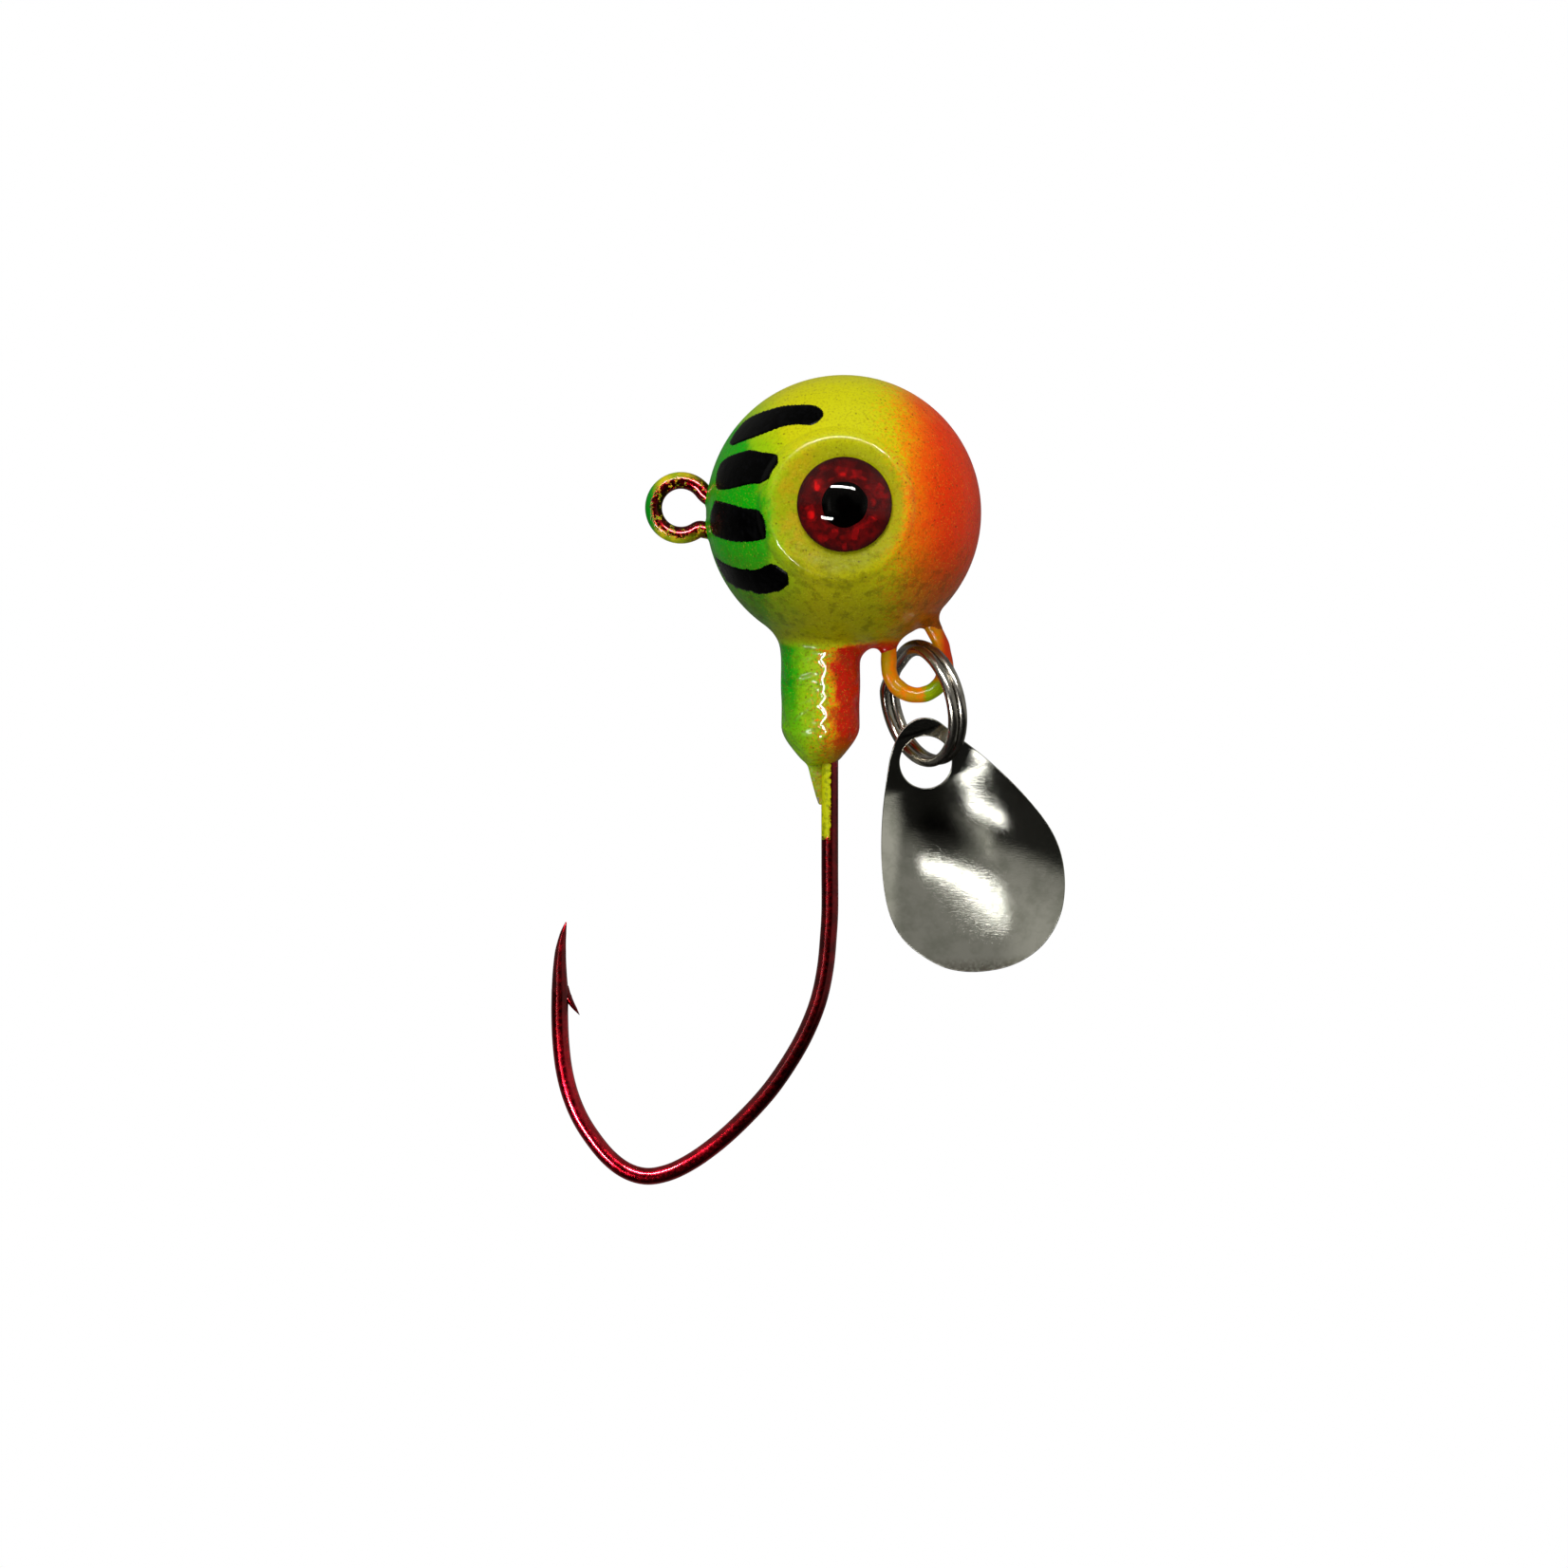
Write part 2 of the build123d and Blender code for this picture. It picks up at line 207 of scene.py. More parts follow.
def slide(field, points, rounds, limit=np.inf):
    """Moves points onto field = 0."""
    for _ in range(rounds):
        slope = gradient(field, points)
        step = field(*points.T) / np.maximum((slope * slope).sum(1), 0.2)
        points = points - np.clip(step, -limit, limit)[:, None] * slope
    return points


def surface_nets(field, low, high, cell):
    """Quads round field = 0, with every vertex slid onto the surface."""
    axes = [np.arange(low[k], high[k] + cell, cell) for k in range(3)]
    value = field(*np.meshgrid(*axes, indexing="ij"))
    inside = value < 0
    count = np.array(value.shape) - 1
    hits = np.zeros(count)
    offset = np.zeros((3, *count))

    def corner(shift):
        return tuple(slice(shift[k], count[k] + shift[k]) for k in range(3))

    # each cell's vertex is the mean of the crossings on its twelve edges
    for axis in range(3):
        across = [k for k in range(3) if k != axis]
        for b, c in np.ndindex(2, 2):
            start = [0, 0, 0]
            start[across[0]], start[across[1]] = b, c
            end = list(start)
            end[axis] = 1
            v0, v1 = value[corner(start)], value[corner(end)]
            hit = (v0 < 0) != (v1 < 0)
            t = np.where(hit, v0 / np.where(hit, v0 - v1, 1), 0)
            hits += hit
            for k in range(3):
                offset[k] += hit * (t if k == axis else start[k])
    mixed = hits > 0
    cells = np.argwhere(mixed)
    index = -np.ones(count, int)
    index[mixed] = np.arange(len(cells))
    points = np.stack([axes[k][0] + cell * (cells[:, k] + offset[k][mixed] / hits[mixed])
                       for k in range(3)], 1)

    # each grid edge that crosses the surface joins its four cells
    quads = []
    for axis in range(3):
        across = [k for k in range(3) if k != axis]
        near = [slice(1, count[k]) for k in range(3)]
        near[axis] = slice(0, count[axis])
        far = list(near)
        far[axis] = slice(1, count[axis] + 1)
        a, b = inside[tuple(near)], inside[tuple(far)]
        where = np.argwhere(a != b)
        keep = a[tuple(where.T)]
        if axis == 1:
            keep = ~keep

        def neighbour(d0, d1):
            at = where.copy()
            at[:, across[0]] += d0
            at[:, across[1]] += d1
            return index[tuple(at.T)]

        quad = np.stack([neighbour(0, 0), neighbour(1, 0), neighbour(1, 1), neighbour(0, 1)], 1)
        quad[~keep] = quad[~keep][:, ::-1]
        quads.append(quad)
    return slide(field, points, rounds=4, limit=cell), np.vstack(quads)


# --------------------------------------------------------------- material tools
class Graph:
    """Short ways to make shader nodes; most return the first output."""
    math_inputs = 2     # how many inputs of a math node are set; those not given are zero

    def __init__(self, tree):
        self.tree = tree
        tree.nodes.clear()

    def node(self, kind, inputs=None, **props):
        node = self.tree.nodes.new(kind)
        for key, value in props.items():
            setattr(node, key, value)
        for key, value in (inputs or {}).items():
            if value is not None:
                self.put(node.inputs[key], value)
        return node

    def put(self, sock, value):
        if isinstance(value, bpy.types.NodeSocket):
            self.tree.links.new(value, sock)
        elif isinstance(value, (tuple, list)) and len(value) == 3 and sock.type == "RGBA":
            sock.default_value = (*value, 1)
        else:
            sock.default_value = value

    def xyz(self, vector):
        return tuple(self.node("ShaderNodeSeparateXYZ", {0: vector}).outputs)

    def math(self, op, *values):
        values += (0.0,) * (self.math_inputs - len(values))
        return self.node("ShaderNodeMath", dict(enumerate(values)), operation=op).outputs[0]

    def add(self, a, b):
        return self.math("ADD", a, b)

    def sub(self, a, b):
        return self.math("SUBTRACT", a, b)

    def max(self, a, b):
        return self.math("MAXIMUM", a, b)

    def mul(self, first, *factors):
        for factor in factors:
            first = self.math("MULTIPLY", first, factor)
        return first

    def ramp(self, value, over, to=(0.0, 1.0), curve="SMOOTHSTEP"):
        """Goes between the two values of "to" while value crosses "over"."""
        return self.node("ShaderNodeMapRange", {
            "Value": value, "From Min": over[0], "From Max": over[1],
            "To Min": to[0], "To Max": to[1]}, interpolation_type=curve).outputs["Result"]

    def mix_shader(self, amount, a, b):
        return self.node("ShaderNodeMixShader", {0: amount, 1: a, 2: b}).outputs[0]


class Material(Graph):
    math_inputs = 3

    def __init__(self, name):
        self.material = bpy.data.materials.new(name)
        self.material.use_nodes = True
        super().__init__(self.material.node_tree)
        self.out = self.node("ShaderNodeOutputMaterial")

    def vector(self, op, *values):
        return self.node("ShaderNodeVectorMath", dict(enumerate(values)), operation=op).outputs[0]

    def mm(self):
        """Ball-centred millimetres."""
        coord = self.node("ShaderNodeTexCoord").outputs["Object"]
        return self.vector("MULTIPLY_ADD", coord, (MM, MM, MM), tuple(-HOME))

    def plus(self, value, other, amount):
        return self.add(value, self.mul(other, amount))

    def jitter(self, noise, amount):
        """Noise centred on zero."""
        return self.mul(self.sub(noise, 0.5), amount)

    def ragged(self, value, noise, amount):
        return self.add(value, self.jitter(noise, amount))

    def length(self, a, b):
        return self.math("SQRT", self.add(self.mul(a, a), self.mul(b, b)))

    def distance(self, x, z, centre):
        return self.length(self.sub(x, centre[0]), self.sub(z, centre[1]))

    def noise(self, vector, scale, detail, rough, distortion=0.0):
        return self.node("ShaderNodeTexNoise", {
            "Vector": vector, "Scale": scale, "Detail": detail, "Roughness": rough,
            "Distortion": distortion}).outputs["Fac"]

    def voronoi(self, vector, scale, output="Distance"):
        node = self.node("ShaderNodeTexVoronoi", {"Vector": vector, "Scale": scale})
        return node.outputs[output]

    def mix(self, under, over, mask, strength=None):
        """Lays the colour "over" on "under" where the mask is 1."""
        if strength is not None:
            mask = self.mul(mask, strength)
        return self.node("ShaderNodeMix", {0: mask, 6: under, 7: over},
                         data_type="RGBA").outputs[2]

    def mix_value(self, mask, a, b):
        return self.node("ShaderNodeMix", {0: mask, 2: a, 3: b}, data_type="FLOAT").outputs[0]

    def bump(self, height, depth, strength, normal=None):
        return self.node("ShaderNodeBump", {
            "Strength": strength, "Distance": depth / MM, "Height": height,
            "Normal": normal}).outputs[0]

    def shader(self, kind, **inputs):
        inputs = {key.replace("_", " "): value for key, value in inputs.items()}
        return self.node("ShaderNode" + kind, inputs).outputs[0]

    def principled(self, **inputs):
        return self.shader("BsdfPrincipled", **inputs)

    def done(self, shader):
        self.tree.links.new(shader, self.out.inputs["Surface"])
        return self.material


def srgb(*channels):
    """Linear colour from 0-255 sRGB."""
    return tuple((c / 255 / 12.92) if c <= 10.31 else ((c / 255 + 0.055) / 1.055) ** 2.4
                 for c in channels)


GREEN, LIME, YELLOW = srgb(2, 172, 4), srgb(138, 200, 3), srgb(210, 208, 3)
ORANGE, RED_ORANGE, DEEP_RED = srgb(255, 132, 2), srgb(244, 54, 1), srgb(212, 22, 1)
# the second colour on the next line is painted shade under the ball; the third is dark mottling
# there, partly painted shade
EYE_FLAT_YELLOW, UNDERSIDE_SHADE, MOTTLE_AND_SHADE = srgb(164, 168, 2), srgb(90, 84, 0), srgb(58, 62, 0)
TIP_OLIVE, DARK_DOT, BROWN_SPECK = srgb(120, 112, 2), srgb(70, 50, 0), srgb(110, 70, 0)
PALE_DUST = srgb(250, 240, 70)


# ------------------------------------------------------------------- materials
def head_paint(name, ball_coat, neck_coat, peel_depth, sag_depth):
    """Green at -X through yellow and orange to red at +X, on the ball and its collar (neck)."""
    m = Material(name)
    p = m.mm()
    x, _, z = m.xyz(p)
    speck = m.noise(p, scale=6.5, detail=3.0, rough=0.75)
    soft = m.noise(p, scale=0.55, detail=2.0, rough=0.5)
    mid = m.noise(p, scale=2.2, detail=3.0, rough=0.6)
    soft_x = m.ragged(x, soft, amount=1.2)
    is_neck = m.ramp(z, over=(-6.3, -7.0))

    def part(ball, neck):
        return m.mix_value(is_neck, ball, neck)

    # green at -X, reaching further round the top of the ball
    rise = m.mul(m.ramp(z, over=(0.5, 4.5), curve="LINEAR"), 1.5)
    green_x = m.add(soft_x, m.ragged(rise, mid, amount=0.7))
    past_green = m.sub(green_x, part(ball=-3.72, neck=-2.15))
    green = m.ramp(past_green, over=(0.25, -0.45))
    col = m.mix(YELLOW, LIME, m.ramp(past_green, over=(2.4, -0.3)))
    low = m.ramp(z, over=(-8.6, -11.6))
    col = m.mix(col, GREEN, green, strength=m.mix_value(low, 1.0, 0.35))

    # orange then red towards +X, the orange with a speckled edge
    def spray(along, edge, width, over):
        return m.ramp(m.math("DIVIDE", m.sub(along, edge), width), over=over)

    orange = spray(m.ragged(soft_x, speck, amount=6.2), part(ball=1.72, neck=-1.12),
                   part(ball=1.45, neck=0.42), over=(-0.2, 1.6))
    col = m.mix(col, ORANGE, orange)
    red = spray(m.ragged(soft_x, mid, amount=1.1), part(ball=3.3, neck=-0.62),
                part(ball=1.9, neck=0.42), over=(-0.6, 1.0))
    col = m.mix(col, m.mix(RED_ORANGE, DEEP_RED, is_neck), red)

    # the flat round the eye stays yellow, with a warm halo on its -X side
    from_eye = m.distance(x, z, centre=(-0.2, 0.12))
    flat = m.mul(m.ramp(m.plus(from_eye, speck, amount=0.5), over=(3.9, 3.2)),
                 m.ramp(x, over=(3.4, 2.7)))
    col = m.mix(col, EYE_FLAT_YELLOW, flat, strength=0.80)
    halo = m.mul(m.ramp(from_eye, over=(4.0, 3.0)), m.ramp(x, over=(-0.5, -2.6)),
                 m.ramp(mid, over=(0.35, 0.65)))
    col = m.mix(col, ORANGE, halo, strength=0.22)
    lip = m.mul(m.ramp(from_eye, over=(3.20, 3.34)), m.ramp(from_eye, over=(3.86, 3.72)),
                m.ramp(z, over=(-6.0, -5.6)))

    # painted shade under the ball, dark mottled patches there that are partly painted shade, and
    # an olive collar end
    # painted shade: the ball grows darker towards its bottom, off the collar
    underside_shade = m.mul(m.ramp(z, over=(-1.0, -5.2)), m.sub(1.0, is_neck))
    col = m.mix(col, UNDERSIDE_SHADE, underside_shade, strength=0.62)
    # dark mottled patches that grow denser towards the bottom of the ball: partly painted shade
    mottle_and_shade = m.mul(m.ramp(m.noise(p, scale=1.5, detail=4.0, rough=0.72), over=(0.50, 0.62)),
                   m.ramp(z, over=(0.0, -4.6)))
    col = m.mix(col, MOTTLE_AND_SHADE, mottle_and_shade, strength=part(ball=0.42, neck=0.20))
    tip = m.mul(m.ramp(z, over=(-11.0, -12.6)),
                m.ramp(m.plus(x, mid, amount=1.2), over=(-1.7, 0.1)))
    col = m.mix(col, TIP_OLIVE, tip, strength=0.8)

    # fine dark specks and dust
    dots = m.mul(m.ramp(m.voronoi(p, scale=3.4), over=(0.26, 0.08)),
                 m.ramp(m.noise(p, scale=1.3, detail=2, rough=0.5), over=(0.46, 0.60)))
    col = m.mix(col, DARK_DOT, dots, strength=0.70)
    fine = m.ramp(m.noise(p, scale=8.5, detail=3.0, rough=0.65), over=(0.50, 0.66))
    col = m.mix(col, BROWN_SPECK, fine, strength=part(ball=0.34, neck=0.55))
    dust = m.ramp(m.noise(p, scale=11.0, detail=2.0, rough=0.6), over=(0.58, 0.70))
    col = m.mix(col, PALE_DUST, dust, strength=0.20)

    # orange peel, runs in the thick paint of the collar, then grain
    peel = m.noise(p, scale=1.15, detail=2.0, rough=0.45)
    small_peel = m.noise(p, scale=3.3, detail=2.0, rough=0.5)
    normal = m.bump(m.plus(peel, small_peel, amount=0.22), depth=peel_depth, strength=0.6)
    stretched = m.vector("MULTIPLY", p, (0.8, 0.8, 1.25))
    sag = m.noise(stretched, scale=0.85, detail=1.5, rough=0.45, distortion=0.6)
    sag = m.mul(sag, m.ramp(z, over=(-6.6, -7.4)))
    normal = m.bump(sag, depth=sag_depth, strength=1.0, normal=normal)
    normal = m.bump(speck, depth=0.006, strength=0.5, normal=normal)
    rough = m.ramp(mid, over=(0.3, 0.7), to=(0.30, 0.42))
    coat = m.max(part(ball=ball_coat, neck=neck_coat), m.mul(lip, 0.5))
    return m.done(m.principled(
        Base_Color=col, Roughness=rough, Normal=normal, Specular_IOR_Level=0.06,
        Coat_Weight=coat, Coat_Roughness=0.05, Coat_Normal=normal))


def black_ink():
    m = Material("black_ink")
    p = m.mm()
    cloud = m.noise(p, scale=3.0, detail=3.0, rough=0.6)
    grain = m.noise(p, scale=14.0, detail=2.0, rough=0.6)
    black, soot, worn_grey = (0.0003, 0.0003, 0.0004), (0.002, 0.002, 0.0025), (0.03, 0.03, 0.032)
    col = m.mix(black, soot, m.ramp(cloud, over=(0.45, 0.75)))
    x, _, z = m.xyz(p)
    worn = m.mul(m.ramp(x, over=(-5.2, -6.4)), m.ramp(z, over=(-1.5, -3.0)))
    col = m.mix(col, worn_grey, worn, strength=0.6)
    peel = m.noise(p, scale=1.15, detail=2.0, rough=0.45)
    normal = m.bump(m.plus(peel, grain, amount=0.1), depth=0.06, strength=0.5)
    rough = m.ramp(cloud, over=(0.3, 0.7), to=(0.22, 0.36))
    return m.done(m.principled(Base_Color=col, Roughness=rough, Normal=normal,
                               Specular_IOR_Level=0.04))


def hook_lacquer():
    """Red lacquer, with painted light that makes it brighter round the bend, and head paint on
    the shank and line eye.
    """
    m = Material("red_lacquered_wire")
    p = m.mm()
    x, y, z = m.xyz(p)
    cloud = m.noise(p, scale=1.6, detail=3.0, rough=0.6)
    grain = m.noise(p, scale=5.0, detail=3.0, rough=0.65)
    dark_red, red, stain = srgb(98, 6, 14), srgb(146, 10, 28), srgb(40, 6, 8)
    # two brighter reds, painted round the bend as light falling on it
    bend_lit_red, bend_highlight_red = srgb(168, 14, 34), srgb(222, 30, 58)
    base = m.mix(dark_red, red, m.ramp(cloud, over=(0.35, 0.7)))
    # painted light: brighter red round the bottom of the bend and up the arm to the point
    bend_painted_light = m.mul(m.max(m.ramp(z, over=(-29.0, -33.0)), m.ramp(x, over=(-4.0, -8.0))),
                 m.ramp(z, over=(-24.5, -27.5)))
    base = m.mix(base, m.mix(bend_lit_red, bend_highlight_red, m.ramp(cloud, over=(0.35, 0.7))), bend_painted_light)
    base = m.mix(base, stain, m.ramp(grain, over=(0.62, 0.75)), strength=0.5)
    rough = m.ramp(grain, over=(0.3, 0.75), to=(0.14, 0.30))

    # head paint that ran onto the -X, -Y side of the shank
    wobble = m.jitter(grain, amount=1.5)
    across = m.plus(m.plus(x, y, amount=0.55), wobble, amount=0.25)
    side = m.ramp(across, over=(-0.86, -0.94))
    above = m.ramp(m.plus(z, wobble, amount=0.6), over=(-16.55, -16.35))
    shank = m.mul(m.mul(side, above),
                  m.mul(m.ramp(z, over=(-30.0, -29.0)), m.ramp(x, over=(-2.2, -1.9))))

    # and flecks of it round the line eye
    from_eye = m.distance(x, z, centre=LINE_EYE)
    outer = m.ramp(m.plus(from_eye, wobble, amount=0.45), over=(1.42, 1.60))
    eye_zone = m.mul(m.ramp(x, over=(-6.7, -7.0)), m.ramp(z, over=(-4.0, -3.5)))
    far_side = m.ramp(m.plus(x, wobble, amount=0.9), over=(-6.9, -8.6))
    flecks = m.ramp(m.noise(p, scale=3.4, detail=3.0, rough=0.7), over=(0.57, 0.63))
    eye = m.mul(eye_zone, m.max(m.mul(outer, far_side), m.mul(flecks, 0.9)))
    green = m.ramp(m.plus(x, wobble, amount=0.3), over=(-9.2, -9.75))
    eye_lime, eye_yellow, eye_green = srgb(150, 170, 10), srgb(205, 190, 20), srgb(6, 140, 20)
    eye_col = m.mix(eye_lime, eye_yellow, m.ramp(cloud, over=(0.4, 0.6)))
    eye_col = m.mix(eye_col, eye_green, green)
    shank_yellow, shank_olive = srgb(200, 205, 10), srgb(150, 160, 5)
    shank_col = m.mix(shank_yellow, shank_olive, m.ramp(grain, over=(0.45, 0.65)))
    mask = m.max(shank, eye)
    paint_col = m.mix(eye_col, shank_col, m.ramp(z, over=(-3.0, -4.0)))
    normal = m.bump(m.plus(grain, mask, amount=1.2), depth=0.02, strength=0.5)
    metal = m.principled(Base_Color=base, Metallic=1.0, Roughness=rough, Normal=normal,
                         Coat_Weight=0.6, Coat_Roughness=0.08, Coat_Tint=(1.0, 0.25, 0.3, 1))
    paint = m.principled(Base_Color=paint_col, Roughness=0.2, Normal=normal,
                         Specular_IOR_Level=0.15)
    return m.done(m.mix_shader(mask, metal, paint))


def eyelet_paint():
    m = Material("painted_wire")
    p = m.mm()
    x, _, z = m.xyz(p)
    cloud = m.noise(p, scale=1.7, detail=3.0, rough=0.6)
    grain = m.noise(p, scale=6.0, detail=3.0, rough=0.65)
    amber, streak_yellow, lime_green = srgb(214, 150, 8), srgb(190, 170, 10), srgb(150, 176, 6)
    side_red, chip_brown = srgb(200, 52, 10), srgb(90, 60, 20)
    col = m.mix(ORANGE, amber, m.ramp(cloud, over=(0.35, 0.62)))
    streak = m.mul(m.ramp(m.ragged(x, grain, amount=0.5), over=(2.45, 2.25)),
                   m.ramp(z, over=(-8.6, -7.6)))
    col = m.mix(col, streak_yellow, streak, strength=0.75)
    lime = m.mul(m.ramp(m.ragged(x, grain, amount=0.7), over=(3.9, 4.25)),
                 m.ramp(z, over=(-8.3, -8.7)))
    col = m.mix(col, lime_green, lime)
    red = m.mul(m.ramp(x, over=(4.7, 5.2)), m.ramp(z, over=(-8.2, -7.4)))
    col = m.mix(col, side_red, red)
    chip = m.mul(m.ramp(grain, over=(0.66, 0.72)), m.ramp(z, over=(-7.0, -8.0)))
    col = m.mix(col, chip_brown, chip, strength=0.5)
    normal = m.bump(m.plus(cloud, grain, amount=0.3), depth=0.06, strength=0.6)
    return m.done(m.principled(Base_Color=col, Roughness=0.17, Normal=normal,
                               Specular_IOR_Level=0.15))


def nickel(name, light, dark, scratch_scale):
    """The start of a nickel material, with its position, colour, roughness and normal."""
    m = Material(name)
    p = m.mm()
    stretched = m.vector("MULTIPLY", p, scratch_scale)
    cloud = m.noise(p, scale=0.9, detail=3.0, rough=0.6)
    scratch = m.noise(stretched, scale=9.0, detail=4.0, rough=0.7)
    col = m.mix(light, dark, m.ramp(cloud, over=(0.35, 0.7)))
    rough = m.plus(m.ramp(cloud, over=(0.3, 0.7), to=(0.05, 0.11)),
                   m.ramp(scratch, over=(0.5, 0.8)), amount=0.12)
    normal = m.bump(scratch, depth=0.0035, strength=0.6)
    waves = m.noise(p, scale=1.1, detail=2.0, rough=0.5)
    return m, p, col, rough, m.bump(waves, depth=0.010, strength=0.5, normal=normal)


def nickel_wire():
    m, _, col, rough, normal = nickel("nickel_wire", light=srgb(176, 171, 161),
                                      dark=srgb(126, 121, 113), scratch_scale=(1, 1, 1))
    duller = m.add(rough, 0.13)
    return m.done(m.principled(Base_Color=col, Metallic=1.0, Roughness=duller, Normal=normal))


def nickel_blade():
    m, p, col, rough, normal = nickel("nickel_blade", light=srgb(240, 238, 226),
                                      dark=srgb(212, 212, 198), scratch_scale=(0.5, 1, 2.2))
    stretched = m.vector("MULTIPLY", p, (2.2, 1.0, 11.0))
    hairlines = m.noise(stretched, scale=1.3, detail=4.0, rough=0.75)
    normal = m.bump(hairlines, depth=0.0045, strength=0.9, normal=normal)
    grain = m.noise(p, scale=7.0, detail=4.0, rough=0.75)
    normal = m.bump(grain, depth=0.0025, strength=0.8, normal=normal)
    duller = m.add(rough, 0.01)
    _, _, z = m.xyz(p)
    patches = m.noise(p, scale=5.0, detail=3.0, rough=0.6)
    # brown along the bottom edge
    brown = m.mul(m.ramp(z, over=(-22.4, -23.2)), m.ramp(patches, over=(0.35, 0.6)))
    col = m.mix(col, srgb(120, 96, 80), brown, strength=0.5)
    return m.done(m.principled(Base_Color=col, Metallic=1.0, Roughness=duller, Normal=normal))


def red_foil():
    m = Material("red_foil")
    p = m.mm()
    x, _, z = m.xyz(p)
    radius = m.length(x, m.sub(z, EYE_Z))
    # every cell of the foil is tilted its own way
    tilt = m.vector("SUBTRACT", m.voronoi(p, scale=2.6, output="Color"), (0.5, 0.5, 0.5))
    facing = m.node("ShaderNodeNewGeometry").outputs["Normal"]
    normal = m.vector("NORMALIZE", m.vector("MULTIPLY_ADD", tilt, (0.75, 0.75, 0.75), facing))
    cloud = m.noise(p, scale=1.9, detail=3.0, rough=0.6)
    dark, red, spot_red, rim_red = srgb(60, 0, 1), srgb(86, 1, 2), srgb(150, 4, 5), srgb(44, 0, 1)
    col = m.mix(dark, red, m.ramp(cloud, over=(0.42, 0.60)))
    ring = m.mul(m.ramp(radius, over=(1.25, 1.6)), m.ramp(radius, over=(2.05, 1.7)))
    spots = m.mul(ring, m.ramp(m.voronoi(p, scale=1.55), over=(0.42, 0.20)))
    col = m.mix(col, spot_red, spots, strength=0.8)
    col = m.mix(col, rim_red, m.ramp(radius, over=(2.05, 2.36)))
    metal = m.principled(Base_Color=col, Metallic=1.0, Roughness=0.38, Normal=normal)
    flat = m.principled(Base_Color=col, Roughness=0.6, Specular_IOR_Level=0.02)
    flat_share = 0.84
    return m.done(m.mix_shader(flat_share, metal, flat))


def pupil_black():
    m = Material("pupil_black")
    cloud = m.noise(m.mm(), scale=6.0, detail=3.0, rough=0.6)
    black, warm_black = (0.0002, 0.0002, 0.0002), (0.0008, 0.0004, 0.0004)
    col = m.mix(black, warm_black, m.ramp(cloud, over=(0.4, 0.7)))
    rough = m.ramp(cloud, over=(0.3, 0.7), to=(0.5, 0.7))
    return m.done(m.principled(Base_Color=col, Roughness=rough, Specular_IOR_Level=0.0))


def clear_dome():
    """A clear shell that only adds reflections, and casts no shadow of its own."""
    m = Material("clear_dome")
    p = m.mm()
    waves = m.noise(p, scale=0.8, detail=2.0, rough=0.5)
    dust = m.ramp(m.noise(p, scale=7.0, detail=3.0, rough=0.6), over=(0.66, 0.74))
    normal = m.bump(waves, depth=0.02, strength=0.5)
    through = m.shader("BsdfTransparent", Color=(1, 0.99, 0.985, 1))
    shine = m.shader("BsdfGlossy", Roughness=m.plus(0.020, dust, amount=0.1), Normal=normal)
    fresnel = m.shader("Fresnel", IOR=1.34, Normal=normal)
    path = m.node("ShaderNodeLightPath")
    face = m.node("ShaderNodeNewGeometry")
    amount = m.mul(fresnel, m.sub(1.0, path.outputs["Is Shadow Ray"]),
                   m.sub(1.0, face.outputs["Backfacing"]))
    return m.done(m.mix_shader(amount, through, shine))


def eye_foam():
    m = Material("eye_foam")
    p = m.mm()
    cloud = m.noise(p, scale=9.0, detail=3.0, rough=0.6)
    cream, tan = srgb(225, 222, 205), srgb(180, 172, 140)
    col = m.mix(cream, tan, m.ramp(cloud, over=(0.35, 0.65)))
    normal = m.bump(m.voronoi(p, scale=12.0), depth=0.02, strength=0.6)
    return m.done(m.principled(Base_Color=col, Roughness=0.85, Normal=normal))


def cast_lead():
    m = Material("cast_lead")
    p = m.mm()
    cloud = m.noise(p, scale=1.5, detail=4.0, rough=0.6)
    grey, dark_grey = srgb(120, 122, 126), srgb(84, 86, 90)
    col = m.mix(grey, dark_grey, m.ramp(cloud, over=(0.35, 0.65)))
    grain = m.noise(p, scale=8.0, detail=3, rough=0.6)
    normal = m.bump(m.plus(cloud, grain, amount=0.3), depth=0.05, strength=0.7)
    return m.done(m.principled(Base_Color=col, Metallic=0.9, Roughness=0.5, Normal=normal))


EYE_Z = 0.21    # height of the 3D eyes' centre

PAINT = head_paint("head_paint", ball_coat=0.13, neck_coat=0.20, peel_depth=0.10, sag_depth=0.30)
RUN = head_paint("head_paint_run", ball_coat=1.0, neck_coat=1.0, peel_depth=0.02, sag_depth=0.02)
INK, RED, WIRE = black_ink(), hook_lacquer(), eyelet_paint()
RING, BLADE, FOIL, PUPIL = nickel_wire(), nickel_blade(), red_foil(), pupil_black()
DOME, FOAM, LEAD = clear_dome(), eye_foam(), cast_lead()

# ------------------------------------------------------------------- head skin
BALL_R = 6.94
SEAM_H, SEAM_W = 0.030, 0.16        # mould line round the y = 0 plane
FLAT_Y = 6.05                       # the eye flats
LIP_CENTRE, LIP_R, LIP_H = (-0.25, 0.07), 3.44, 0.15
COLLAR_X, COLLAR_END = -1.17, -12.72

# (z, radius)
COLLAR_Z, COLLAR_R = np.array((
    (-12.76, 0.66), (-12.62, 0.82), (-12.47, 1.00), (-12.20, 1.24), (-11.95, 1.45),
    (-11.70, 1.64), (-11.50, 1.77), (-11.30, 1.87), (-11.12, 1.94), (-10.9, 1.98),
    (-9.0, 2.00), (-7.4, 2.00), (-6.6, 2.04), (-5.0, 2.12))).T

# (z, x) of the -X edge of the flash beside the shank
FLASH_Z, FLASH_X = np.array((
    (-14.9, -1.22), (-14.75, -1.28), (-14.4, -1.40), (-13.6, -1.62), (-12.9, -1.80),
    (-12.2, -2.06))).T
FLASH_INNER_X, FLASH_HALF, FLASH_TOP, FLASH_END = -0.98, 0.15, -11.8, -14.80

EYELET, EYELET_R = (3.73, -7.81), 1.44      # (x, z) centre and radius of the wire loop
EYELET_LEG_X = EYELET[0] - EYELET_R

